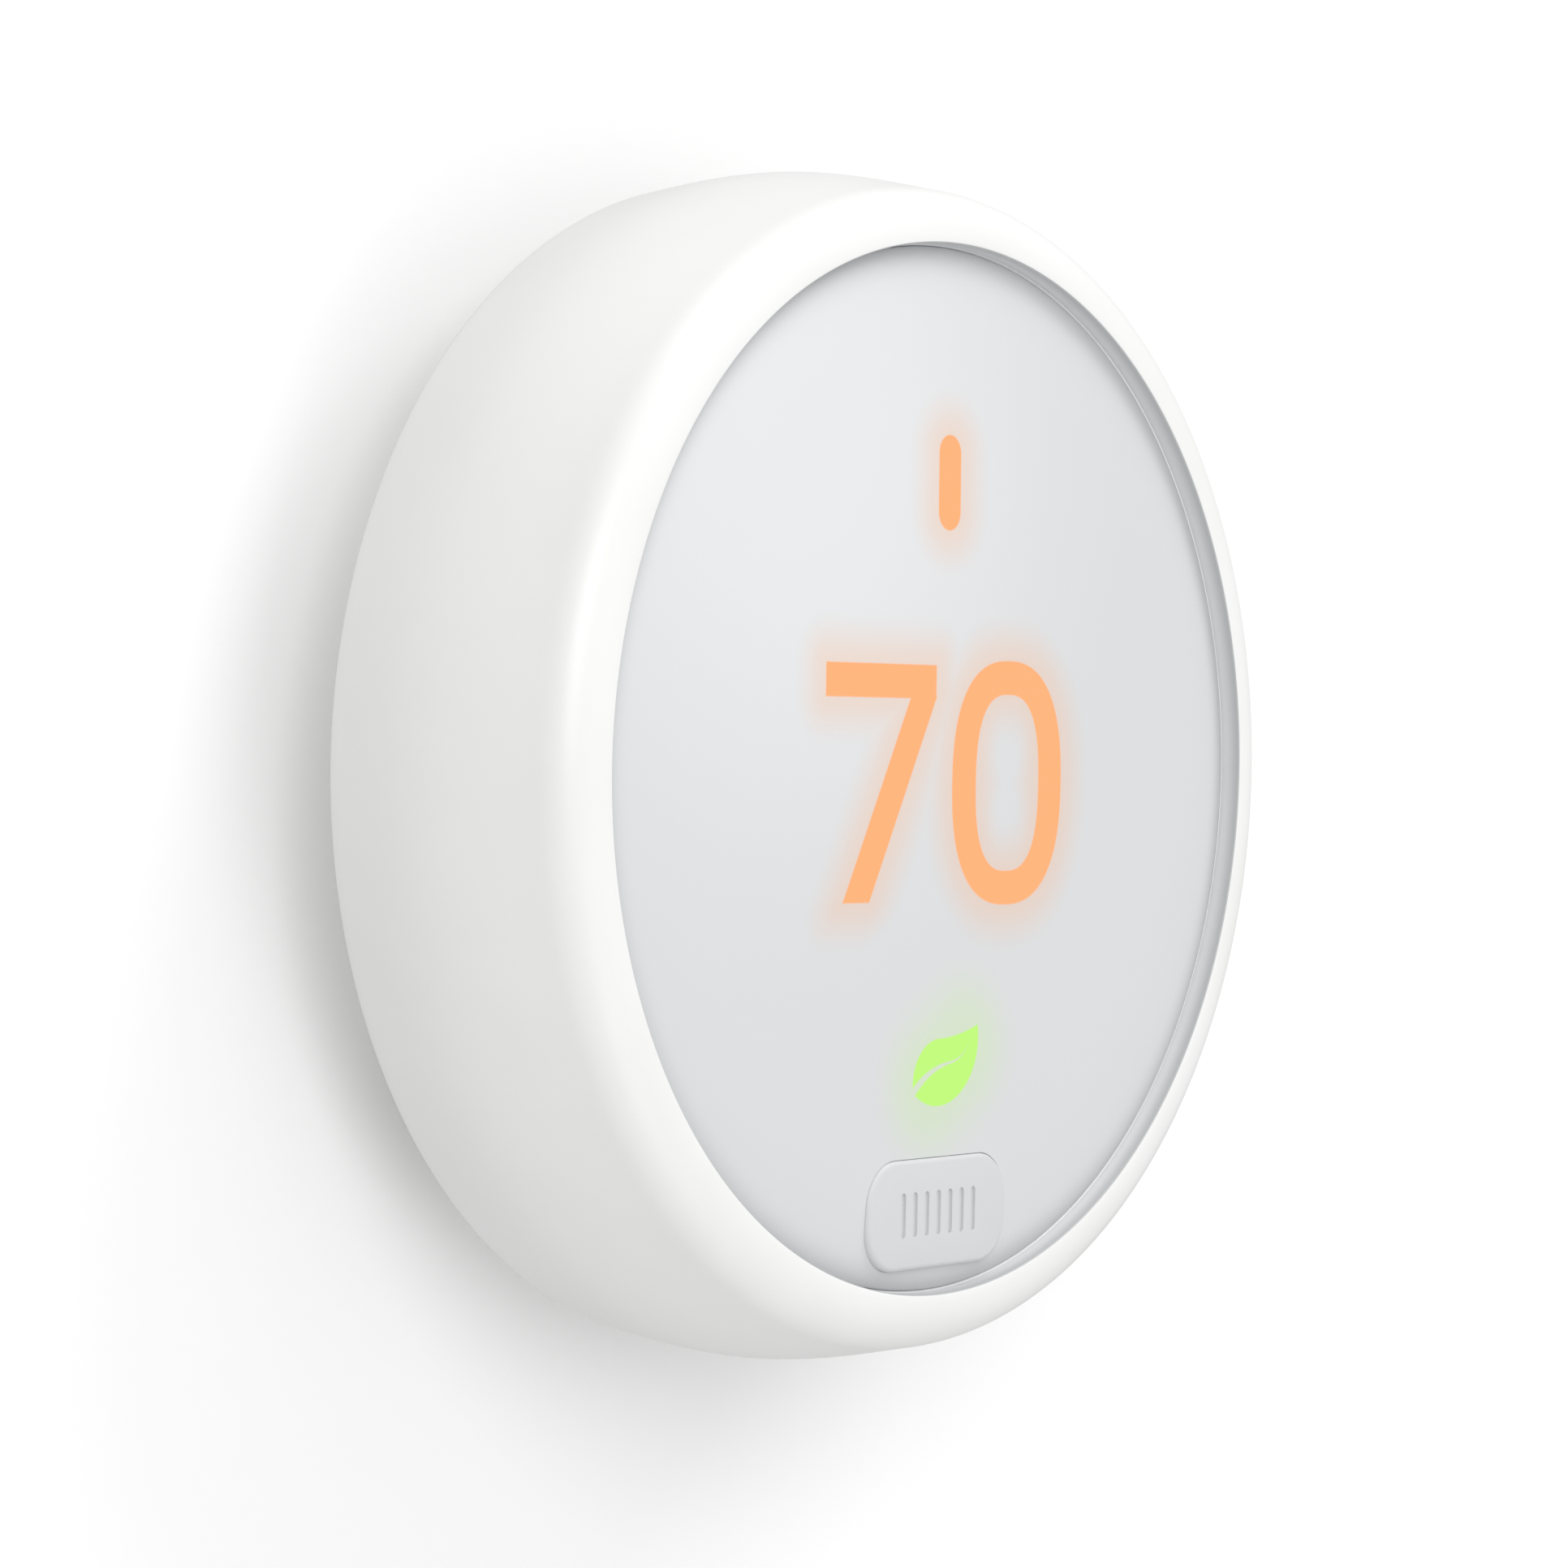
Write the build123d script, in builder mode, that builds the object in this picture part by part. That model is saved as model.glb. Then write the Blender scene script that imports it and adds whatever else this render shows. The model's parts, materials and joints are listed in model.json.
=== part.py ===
from build123d import *
from math import cos, radians, sin
import os

# Round wall thermostat, millimetres.
# Origin: centre of the base's back face, on the wall. +Z is up and the front faces -Y.
# A "depth" is a distance from the wall towards the room, so depth d stands at y = -d.
# Four groups move: the head pulls off the base, the front presses into the head,
# the ring turns on the front, and each wire tab pushes into the base.

# ---- driving dimensions -------------------------------------------------------------
ring_radius = 40.5              # widest radius of the outer ring
ring_front = 27.0               # frontmost depth of the ring
ring_rear = 7.6                 # gap between the wall and the ring's rear edge
ring_widest = 14.4              # depth at which the ring is widest
rim_radius = 35.1               # inner edge of the ring, around the lens
lens_radius = 34.95
lens_centre = 26.4              # depth of the lens's face at its centre
lens_edge = 25.65               # and at its edge
lens_thickness = 1.2
badge_width, badge_height = 15.4, 7.4
badge_z = -29.7
badge_front = 26.45
display_width, display_height = 34.0, 47.0
base_radius = 31.0
base_front = 8.6
wall_screw_pitch = 48.0
wall_slot_width, wall_slot_length = 4.4, 7.0
terminal_pitch = 7.0
terminals_per_side = 3
press_travel = 0.6
tab_travel = 1.6

# ---- depths of the layers, wall to front --------------------------------------------
base_floor = 1.6                # front face of the base plate's floor
base_board_front = 2.8
block_front = 8.0               # front of the terminal blocks
cover_rear = 7.8                # rear face of the head's back cover
recess_floor = 9.6              # floor of the recess that takes the base
cover_front = 11.2
board_rear, board_front = 12.4, 13.4
plate_rear, plate_front = 15.6, 16.8        # the chassis's middle plate
carrier_rear, carrier_front = 21.6, 22.6    # the lens carrier's floor
chassis_front = carrier_rear - press_travel - 0.4
plunger_front = 20.2            # top of the press switch's plunger
lens_seat = 24.4                # top of the carrier's wall, behind the lens's edge

# ---- radii and places across the face -----------------------------------------------
recess_radius = base_radius + 0.6
cover_radius = 38.1
chassis_inner, chassis_outer = 31.3, 32.7
carrier_inner, carrier_outer = chassis_outer + 0.3, 34.4
glide_outer = 35.2
retainer_inner, retainer_outer = glide_outer + 0.1, 36.9
shell_inner = 38.65             # inside of the ring's shell, behind the retainer
post_circle = 28.5              # the chassis's four posts, at 45 degrees
guide_x, guide_z = 22.2, 11.8   # the four guide screws
wire_hole_z = 3.0
plug_z = -12.0
vial_z, vial_depth = 14.8, 4.5
block_x, block_width, block_height = 19.0, 13.0, 22.0
tab_x = 22.0                    # centre of the wire tabs
port_x = 19.0
battery_z = 9.0
switch_z = -12.0
flex_z = 26.2
sensor_z = -28.6

vent_z = 22.0                   # vents, with the humidity sensor behind them
radio_can, processor_can = (-10, 9), (-10, -6)
sounder_place = (13.5, 11)
lead_place = (9.7, -5)          # battery connector

guide_points = [(x, z) for x in (-guide_x, guide_x) for z in (-guide_z, guide_z)]
wall_screw_points = [(0, wall_screw_pitch / 2), (0, -wall_screw_pitch / 2)]
board_screw_points = [(-12, -19), (12, -19), (-16, 19), (16, 19)]
terminal_rows = [terminal_pitch * (i - (terminals_per_side - 1) / 2)
                 for i in range(terminals_per_side)]

os.makedirs("parts", exist_ok=True)


def facing(depth):
    """Plane parallel to the wall: local x is +X, local y is +Z, normal to the room."""
    return Plane(origin=(0, -depth, 0), x_dir=(1, 0, 0), z_dir=(0, -1, 0))


def radial(angle=0):
    """Half-plane through the Y axis: local x is the radius, local y is the depth."""
    a = radians(angle)
    return Plane(origin=(0, 0, 0), x_dir=(cos(a), 0, sin(a)), z_dir=(sin(a), 0, -cos(a)))


def side_on(z, side=1):
    """Level plane at height z: local x runs out from the middle, local y is the depth."""
    return Plane(origin=(0, 0, z), x_dir=(side, 0, 0), z_dir=(0, 0, -side))


# ==== base: stays on the wall ========================================================
with BuildPart() as base_plate:
    with BuildSketch(radial()):
        with BuildLine():
            Polyline(
                (0, 0), (base_radius, 0), (base_radius, base_front),
                (base_radius - 1.6, base_front), (base_radius - 1.6, base_floor),
                (0, base_floor), close=True)
        make_face()
    revolve(axis=Axis.Y)
    rim_edges = base_plate.edges().filter_by(GeomType.CIRCLE).group_by(Axis.Y)
    fillet(rim_edges[0], radius=0.4)
    # raised collars around the screw slots, and two saddles for the level
    with BuildSketch(facing(base_floor)):
        with Locations(*wall_screw_points):
            SlotOverall(wall_slot_length + 2.6, wall_slot_width + 2.6, rotation=90)
    extrude(amount=0.9)
    with BuildSketch(facing(base_floor)):
        with Locations((-5.5, vial_z), (5.5, vial_z)):
            Rectangle(1.6, 6.2)
    extrude(amount=vial_depth - base_floor + 0.4)
    with BuildSketch(facing(0)):
        with Locations((0, wire_hole_z)):
            RectangleRounded(18, 14, 2.5)
        with Locations(*wall_screw_points):
            SlotOverall(wall_slot_length, wall_slot_width, rotation=90)
    extrude(amount=base_front, mode=Mode.SUBTRACT)
    with BuildSketch(Plane.YZ):
        with Locations((-vial_depth, vial_z)):
            Circle(2.4)
    extrude(amount=8, both=True, mode=Mode.SUBTRACT)
    # notches in the rim for the latch clips, and pilot holes for the board's screws
    with BuildSketch(facing(base_floor)):
        with PolarLocations(base_radius, 4, start_angle=45):
            Rectangle(6, 8.4)
    extrude(amount=base_front, mode=Mode.SUBTRACT)
    with BuildSketch(facing(0.4)):
        with Locations(*board_screw_points):
            Circle(0.72)
    extrude(amount=base_floor, mode=Mode.SUBTRACT)
base_plate.part.label = "base_plate"
export_step(base_plate.part, "parts/base_plate.step")

with BuildPart() as base_circuit_board:
    with BuildSketch(facing(base_floor)):
        Circle(28.6)
        with Locations((0, wire_hole_z)):
            RectangleRounded(21, 17, 3, mode=Mode.SUBTRACT)
        with Locations((0, 15.2)):
            Rectangle(18, 8.4, mode=Mode.SUBTRACT)
        with Locations(*wall_screw_points):
            Rectangle(8, 11, mode=Mode.SUBTRACT)
        with PolarLocations(29, 4, start_angle=45):
            Rectangle(7, 9.6, mode=Mode.SUBTRACT)
        with Locations(*board_screw_points):
            Circle(0.95, mode=Mode.SUBTRACT)
    extrude(amount=base_board_front - base_floor)
base_circuit_board.part.label = "base_circuit_board"
export_step(base_circuit_board.part, "parts/base_circuit_board.step")

with BuildPart() as base_board_screws:
    with BuildSketch(facing(0.5)):
        with Locations(*board_screw_points):
            Circle(0.7)
    extrude(amount=base_board_front - 0.5)
    with BuildSketch(facing(base_board_front)):
        with Locations(*board_screw_points):
            Circle(1.5)
    extrude(amount=1.0)
    with BuildSketch(facing(base_board_front + 0.5)):
        with Locations(*board_screw_points):
            Rectangle(1.8, 0.4)
            Rectangle(0.4, 1.8)
    extrude(amount=1.0, mode=Mode.SUBTRACT)
base_board_screws.part.label = "base_board_screws"
export_step(base_board_screws.part, "parts/base_board_screws.step")

# Four springy arms at the rim that hold the head on.
with BuildPart() as latch_clips:
    for angle in (45, 135, 225, 315):
        with BuildSketch(radial(angle)):
            with BuildLine():
                Polyline(
                    (26.4, base_floor), (29.4, base_floor), (29.4, 6.4), (31.3, 7.1),
                    (31.3, 7.5), (29.4, 8.4), (28.6, 8.4), (28.6, 2.4), (26.4, 2.4), close=True)
            make_face()
        extrude(amount=3.8, both=True)
latch_clips.part.label = "latch_clips"
export_step(latch_clips.part, "parts/latch_clips.step")

chamber_x, chamber_front = 19.1, 6.9
tab_foot_rear = base_board_front + 0.8 + tab_travel
for side, hand in ((-1, "left"), (1, "right")):
    with BuildPart() as terminal_block:
        with BuildSketch(facing(base_board_front)):
            with Locations((side * block_x, 0)):
                RectangleRounded(block_width, block_height, 1.0)
        extrude(amount=block_front - base_board_front)
        front_face = terminal_block.faces().sort_by(Axis.Y)[0]
        chamfer(front_face.edges(), length=0.5)
        with BuildSketch(facing(base_board_front)):
            with Locations(*[(side * chamber_x, z) for z in terminal_rows]):
                Rectangle(10.8, 4.8)
        extrude(amount=chamber_front - base_board_front, mode=Mode.SUBTRACT)
        with BuildSketch(facing(chamber_front)):
            with Locations(*[(side * tab_x, z) for z in terminal_rows]):
                Rectangle(4.4, 3.8)
        extrude(amount=block_front, mode=Mode.SUBTRACT)
        with BuildSketch(Plane.YZ.offset(side * 12)):
            with Locations(*[(-5.1, z) for z in terminal_rows]):
                Rectangle(2.2, 2.4)
        extrude(amount=side * 3, mode=Mode.SUBTRACT)
    terminal_block.part.label = f"terminal_block_{hand}"
    export_step(terminal_block.part, f"parts/terminal_block_{hand}.step")

    with BuildPart() as terminal_contacts:
        with BuildSketch(facing(base_board_front + 0.05)):
            with Locations(*[(side * chamber_x, z) for z in terminal_rows]):
                Rectangle(10.2, 3)
        extrude(amount=0.4)
        with BuildSketch(facing(base_board_front + 0.45)):
            with Locations(*[(side * 14.2, z) for z in terminal_rows]):
                Rectangle(0.4, 3)
        extrude(amount=0.5)
    terminal_contacts.part.label = f"terminal_contacts_{hand}"
    export_step(terminal_contacts.part, f"parts/terminal_contacts_{hand}.step")

    with BuildPart() as clamp_springs:
        for z in terminal_rows:
            with BuildSketch(side_on(z, side)):
                with BuildLine() as leaf:
                    FilletPolyline((14.4, 6.5), (18.9, 6.5), (18.9, 5.4), (15, 4.1), radius=0.5)
                trace(leaf.line, line_width=0.3)
            extrude(amount=1.4, both=True)
    clamp_springs.part.label = f"clamp_springs_{hand}"
    export_step(clamp_springs.part, f"parts/clamp_springs_{hand}.step")

# One push tab for each wire: a button that stands out of the block, on a wider foot.
tab_number = 0
for side in (-1, 1):
    for z in reversed(terminal_rows):
        tab_number += 1
        with BuildPart() as terminal_tab:
            with BuildSketch(facing(tab_foot_rear)):
                with Locations((side * (tab_x - 0.05), z)):
                    Rectangle(4.8, 4.4)
            extrude(amount=chamber_front - 0.1 - tab_foot_rear)
            with BuildSketch(facing(chamber_front - 0.1)):
                with Locations((side * tab_x, z)):
                    Rectangle(4, 3.5)
            extrude(amount=2.4)
            fillet(terminal_tab.faces().sort_by(Axis.Y)[0].edges(), radius=0.4)
            with BuildSketch(side_on(z)):
                with Locations((side * tab_x, chamber_front + 4.9)):
                    Circle(2.8)
            extrude(amount=1.1, both=True, mode=Mode.SUBTRACT)
        terminal_tab.part.label = f"terminal_tab_{tab_number}"
        export_step(terminal_tab.part, f"parts/terminal_tab_{tab_number}.step")

with BuildPart() as base_socket:
    with BuildSketch(facing(base_board_front)):
        with Locations((0, plug_z)):
            Rectangle(17, 7)
    extrude(amount=5.6)
    with BuildSketch(facing(base_board_front + 1)):
        with Locations((0, plug_z)):
            Rectangle(14.6, 5.6)
    extrude(amount=5.6, mode=Mode.SUBTRACT)
    chamfer(base_socket.faces().sort_by(Axis.Y)[0].outer_wire().edges(), length=0.3)
base_socket.part.label = "base_socket"
export_step(base_socket.part, "parts/base_socket.step")

with BuildPart() as socket_contacts:
    with BuildSketch(facing(base_board_front + 1.05)):
        with Locations((0, plug_z)):
            with GridLocations(2.2, 5, 6, 2):
                Rectangle(0.7, 0.5)
    extrude(amount=3.5)
socket_contacts.part.label = "socket_contacts"
export_step(socket_contacts.part, "parts/socket_contacts.step")

with BuildPart() as level_vial:
    with BuildSketch(Plane.YZ):
        with Locations((-vial_depth, vial_z)):
            Circle(2.3)
    extrude(amount=8, both=True)
    fillet(level_vial.edges().filter_by(GeomType.CIRCLE), radius=0.5)
    with BuildSketch(Plane.YZ):
        with Locations((-vial_depth, vial_z)):
            Circle(1.9)
    extrude(amount=7.3, both=True, mode=Mode.SUBTRACT)
level_vial.part.label = "level_vial"
export_step(level_vial.part, "parts/level_vial.step")

# The fluid, with the space of the bubble left out of its top.
with BuildPart() as level_fluid:
    with BuildSketch(Plane.YZ):
        with Locations((-vial_depth, vial_z)):
            Circle(1.86)
    extrude(amount=7.2, both=True)
    with BuildSketch(Plane.XZ.offset(vial_depth)):
        with Locations((0, vial_z + 1.86)):
            SlotOverall(5, 1.9)
    extrude(amount=0.95, both=True, mode=Mode.SUBTRACT)
level_fluid.part.label = "level_fluid"
export_step(level_fluid.part, "parts/level_fluid.step")

# ==== head: pulls straight off the base ==============================================
with BuildPart() as back_cover:
    with BuildSketch(radial()):
        with BuildLine():
            Polyline(
                (0, recess_floor), (recess_radius, recess_floor), (recess_radius, cover_rear),
                (cover_radius, cover_rear), (cover_radius, 10.6), (36.9, 10.6), (36.9, 9.2),
                (33, 9.2), (33, cover_front), (0, cover_front), close=True)
        make_face()
    revolve(axis=Axis.Y)
    rear_edges = back_cover.edges().filter_by(GeomType.CIRCLE).group_by(Axis.Y)[-1]
    chamfer(rear_edges, length=0.35)
    with BuildSketch(facing(recess_floor)):
        with Locations((0, plug_z)):
            RectangleRounded(15.2, 5, 0.8)
        with Locations((port_x, 0)):
            RectangleRounded(9, 3.8, 1)
        with Locations((0, vent_z)):
            with GridLocations(2.6, 0, 7, 1):
                SlotOverall(8, 1.2, rotation=90)
        with PolarLocations(post_circle, 4, start_angle=45):
            Circle(1.15)
    extrude(amount=cover_front, mode=Mode.SUBTRACT)
    with BuildSketch(facing(recess_floor)):
        with PolarLocations(post_circle, 4, start_angle=45):
            Circle(2.1)
    extrude(amount=1, mode=Mode.SUBTRACT)
back_cover.part.label = "back_cover"
export_step(back_cover.part, "parts/back_cover.step")

with BuildPart() as cover_screws:
    with BuildSketch(facing(recess_floor + 0.1)):
        with PolarLocations(post_circle, 4, start_angle=45):
            Circle(1.9)
    extrude(amount=0.9)
    with BuildSketch(facing(recess_floor + 1)):
        with PolarLocations(post_circle, 4, start_angle=45):
            Circle(1)
    extrude(amount=4.2)
    with BuildSketch(facing(recess_floor)):
        with PolarLocations(post_circle, 4, start_angle=45):
            Rectangle(2.2, 0.5)
            Rectangle(0.5, 2.2)
    extrude(amount=0.6, mode=Mode.SUBTRACT)
cover_screws.part.label = "cover_screws"
export_step(cover_screws.part, "parts/cover_screws.step")

with BuildPart() as main_chassis:
    with BuildSketch(radial()):
        with BuildLine():
            Polyline(
                (0, plate_rear), (chassis_inner, plate_rear), (chassis_inner, cover_front),
                (chassis_outer, cover_front), (chassis_outer, chassis_front),
                (chassis_inner, chassis_front), (chassis_inner, plate_front), (0, plate_front),
                close=True)
        make_face()
    revolve(axis=Axis.Y)
    # posts for the cover's screws, and a low wall around the battery
    with BuildSketch(facing(cover_front)):
        with PolarLocations(post_circle, 4, start_angle=45):
            Circle(2.2)
    extrude(amount=plate_rear - cover_front)
    with BuildSketch(facing(plate_front)):
        with Locations((0, battery_z)):
            RectangleRounded(36, 25, 1.5)
            Rectangle(34.6, 23.6, mode=Mode.SUBTRACT)
    extrude(amount=1.1)
    with BuildSketch(facing(cover_front)):
        with PolarLocations(post_circle, 4, start_angle=45):
            Circle(1.02)
    extrude(amount=plate_rear - cover_front, mode=Mode.SUBTRACT)
    # holes of the guide screws, and slots for the display's flex and the battery's leads
    with BuildSketch(facing(plate_rear)):
        with Locations(*guide_points):
            Circle(1.4)
        with Locations((0, flex_z)):
            Rectangle(15, 3)
        with Locations((lead_place[0], lead_place[1] - 0.2)):
            Rectangle(4.4, 3.6)
    extrude(amount=plate_front - plate_rear + 2, mode=Mode.SUBTRACT)
    with BuildSketch(facing(cover_front)):
        with Locations((32, 0)):
            Rectangle(3, 5)
    extrude(amount=1, mode=Mode.SUBTRACT)
main_chassis.part.label = "main_chassis"
export_step(main_chassis.part, "parts/main_chassis.step")

with BuildPart() as main_board:
    with BuildSketch(facing(board_rear)):
        Circle(30.8)
        with PolarLocations(post_circle, 4, start_angle=45):
            Circle(2.5, mode=Mode.SUBTRACT)
            with Locations((3, 0)):
                Rectangle(6, 5, mode=Mode.SUBTRACT)
    extrude(amount=board_front - board_rear)
main_board.part.label = "main_board"
export_step(main_board.part, "parts/main_board.step")

# Two soldered tin lids over the radio and the processor.
with BuildPart() as shield_cans:
    with BuildSketch(facing(board_front)):
        with Locations(radio_can):
            RectangleRounded(15, 11, 0.8)
        with Locations(processor_can):
            RectangleRounded(12, 10, 0.8)
    extrude(amount=1.8)
    with BuildSketch(facing(board_front)):
        with Locations(radio_can):
            Rectangle(14.4, 10.4)
        with Locations(processor_can):
            Rectangle(11.4, 9.4)
    extrude(amount=1.5, mode=Mode.SUBTRACT)
shield_cans.part.label = "shield_cans"
export_step(shield_cans.part, "parts/shield_cans.step")

with BuildPart() as board_chips:
    for x, z, width, height, thickness in (
            (*radio_can, 8, 8, 1.0), (*processor_can, 6, 6, 0.9), (4, 14, 5, 4, 0.9),
            (4, 6, 4, 4, 0.8), (2, -4, 5, 6, 1.2), (16, -14, 6, 5, 1.1)):
        with BuildSketch(facing(board_front)):
            with Locations((x, z)):
                Rectangle(width, height)
        extrude(amount=thickness)
board_chips.part.label = "board_chips"
export_step(board_chips.part, "parts/board_chips.step")

with BuildPart() as sounder:
    with BuildSketch(facing(board_front)):
        with Locations(sounder_place):
            Circle(5.5)
    extrude(amount=1.6)
    chamfer(sounder.edges().filter_by(GeomType.CIRCLE).group_by(Axis.Y)[0], length=0.3)
    with BuildSketch(facing(board_front + 1)):
        with Locations(sounder_place):
            Circle(0.8)
    extrude(amount=1, mode=Mode.SUBTRACT)
sounder.part.label = "sounder"
export_step(sounder.part, "parts/sounder.step")

with BuildPart() as antenna:
    with BuildSketch(side_on(-23.5)):
        with BuildLine() as strip:
            FilletPolyline((-8, board_front), (-8, 15), (8, 15), radius=0.5)
        trace(strip.line, line_width=0.3)
    extrude(amount=1.5, both=True)
antenna.part.label = "antenna"
export_step(antenna.part, "parts/antenna.step")

with BuildPart() as base_plug:
    with BuildSketch(facing(4.6)):
        with Locations((0, plug_z)):
            Rectangle(14, 3.8)
    extrude(amount=board_rear - 4.6)
    chamfer(base_plug.faces().sort_by(Axis.Y)[-1].edges(), length=0.4)
base_plug.part.label = "base_plug"
export_step(base_plug.part, "parts/base_plug.step")

with BuildPart() as plug_contacts:
    with BuildSketch(facing(5.2)):
        with Locations((0, plug_z)):
            with GridLocations(2.2, 4, 6, 2):
                Rectangle(0.9, 0.2)
    extrude(amount=3)
plug_contacts.part.label = "plug_contacts"
export_step(plug_contacts.part, "parts/plug_contacts.step")

with BuildPart() as service_port:
    with BuildSketch(facing(9.9)):
        with Locations((port_x, 0)):
            RectangleRounded(8, 2.9, 0.6)
    extrude(amount=board_rear - 9.9)
    with BuildSketch(facing(9.9)):
        with Locations((port_x, 0)):
            RectangleRounded(7.4, 2.3, 0.4)
            Rectangle(5.4, 0.6, mode=Mode.SUBTRACT)
    extrude(amount=2, mode=Mode.SUBTRACT)
service_port.part.label = "service_port"
export_step(service_port.part, "parts/service_port.step")

with BuildPart() as humidity_sensor:
    with BuildSketch(facing(board_rear - 0.9)):
        with Locations((0, vent_z)):
            Rectangle(2.6, 2.6)
            Circle(0.5, mode=Mode.SUBTRACT)
    extrude(amount=0.5)
    with BuildSketch(facing(board_rear - 0.4)):
        with Locations((0, vent_z)):
            Rectangle(2.6, 2.6)
    extrude(amount=0.4)
humidity_sensor.part.label = "humidity_sensor"
export_step(humidity_sensor.part, "parts/humidity_sensor.step")

# The sensor that reads the ring's magnets, on its own short flex.
with BuildPart() as ring_sensor:
    with BuildSketch(facing(9.6)):
        with Locations((35, 0)):
            Rectangle(2.6, 3)
    extrude(amount=1)
ring_sensor.part.label = "ring_sensor"
export_step(ring_sensor.part, "parts/ring_sensor.step")

with BuildPart() as ring_sensor_flex:
    with BuildSketch(radial()):
        with BuildLine() as flex_path:
            FilletPolyline((36.6, 9.5), (33.4, 9.5), (33.4, 11.7), (29.6, 11.7), radius=0.25)
        trace(flex_path.line, line_width=0.2)
        with Locations((28.4, 12)):
            Rectangle(2.6, 0.8)
    extrude(amount=2, both=True)
ring_sensor_flex.part.label = "ring_sensor_flex"
export_step(ring_sensor_flex.part, "parts/ring_sensor_flex.step")

with BuildPart() as display_connector:
    with BuildSketch(facing(board_front)):
        with Locations((0, flex_z)):
            Rectangle(14, 2.6)
    extrude(amount=0.8)
display_connector.part.label = "display_connector"
export_step(display_connector.part, "parts/display_connector.step")

with BuildPart() as battery_pack:
    with BuildSketch(facing(plate_front + 0.1)):
        with Locations((0, battery_z)):
            RectangleRounded(34, 23, 1.2)
    extrude(amount=3.3)
    fillet(battery_pack.faces().sort_by(Axis.Y)[0].edges(), radius=0.6)
battery_pack.part.label = "battery_pack"
export_step(battery_pack.part, "parts/battery_pack.step")

with BuildPart() as battery_connector:
    with BuildSketch(facing(board_front)):
        with Locations(lead_place):
            Rectangle(4, 3.2)
    extrude(amount=1.6)
battery_connector.part.label = "battery_connector"
export_step(battery_connector.part, "parts/battery_connector.step")

# Two leads: out of the battery's lower edge, round, and back to the connector.
with BuildPart() as battery_leads:
    for x in (9, 10.4):
        with BuildLine() as lead_path:
            FilletPolyline((x, -18.4, -2.5), (x, -18.4, -5), (x, -15, -5), radius=1.4)
        with BuildSketch(Plane(origin=(x, -18.4, -2.5), z_dir=(0, 0, -1))):
            Circle(0.45)
        sweep(path=lead_path.line)
battery_leads.part.label = "battery_leads"
export_step(battery_leads.part, "parts/battery_leads.step")

with BuildPart() as switch_board:
    with BuildSketch(facing(plate_front)):
        with Locations((0, switch_z)):
            Rectangle(14, 9)
    extrude(amount=0.8)
switch_board.part.label = "switch_board"
export_step(switch_board.part, "parts/switch_board.step")

with BuildPart() as press_switch:
    with BuildSketch(facing(plate_front + 0.8)):
        with Locations((0, switch_z)):
            RectangleRounded(6, 6, 0.5)
    extrude(amount=1.8)
    with BuildSketch(facing(plate_front + 1.3)):
        with Locations((0, switch_z)):
            Circle(1.7)
    extrude(amount=2, mode=Mode.SUBTRACT)
press_switch.part.label = "press_switch"
export_step(press_switch.part, "parts/press_switch.step")

with BuildPart() as switch_plunger:
    with BuildSketch(facing(plunger_front - 1.6)):
        with Locations((0, switch_z)):
            Circle(1.6)
    extrude(amount=1.6)
    fillet(switch_plunger.edges().filter_by(GeomType.CIRCLE).group_by(Axis.Y)[0], radius=0.3)
switch_plunger.part.label = "switch_plunger"
export_step(switch_plunger.part, "parts/switch_plunger.step")

# Coil springs around the guide screws, between the chassis and the lens carrier.
spring_wire, spring_coil = 0.25, 1.75
spring_rear, spring_front = plate_front + 0.35, carrier_rear - 0.35
with BuildPart() as press_springs:
    for x, z in guide_points:
        with BuildLine() as coil:
            Helix(pitch=(spring_front - spring_rear) / 4, height=spring_front - spring_rear,
                  radius=spring_coil, center=(x, -spring_rear, z), direction=(0, -1, 0))
        with BuildSketch(Plane(origin=coil.line @ 0, z_dir=coil.line % 0)):
            Circle(spring_wire)
        sweep(path=coil.line)
press_springs.part.label = "press_springs"
export_step(press_springs.part, "parts/press_springs.step")

# ==== front: presses into the head ===================================================
with BuildPart() as lens_carrier:
    with BuildSketch(radial()):
        with BuildLine():
            Polyline(
                (0, carrier_rear), (carrier_inner, carrier_rear), (carrier_inner, 12.6),
                (36.2, 12.6), (36.2, 13.7), (carrier_outer, 13.7), (carrier_outer, lens_seat),
                (33.4, lens_seat), (33.4, carrier_front), (0, carrier_front), close=True)
        make_face()
    revolve(axis=Axis.Y)
    # bosses for the guide screws in front, and the post over the switch behind
    with BuildSketch(facing(carrier_front)):
        with Locations(*guide_points):
            Circle(2.2)
    extrude(amount=1.4)
    with BuildSketch(facing(plunger_front + press_travel / 2 + 0.05)):
        with Locations((0, switch_z)):
            Circle(2)
    extrude(until=Until.NEXT)
    with BuildSketch(facing(carrier_rear)):
        with Locations(*guide_points):
            Circle(0.92)
    extrude(amount=2, mode=Mode.SUBTRACT)
    with BuildSketch(facing(carrier_rear)):
        with Locations((0, flex_z)):
            Rectangle(13.6, 1.4)
    extrude(amount=2, mode=Mode.SUBTRACT)
lens_carrier.part.label = "lens_carrier"
export_step(lens_carrier.part, "parts/lens_carrier.step")

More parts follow.
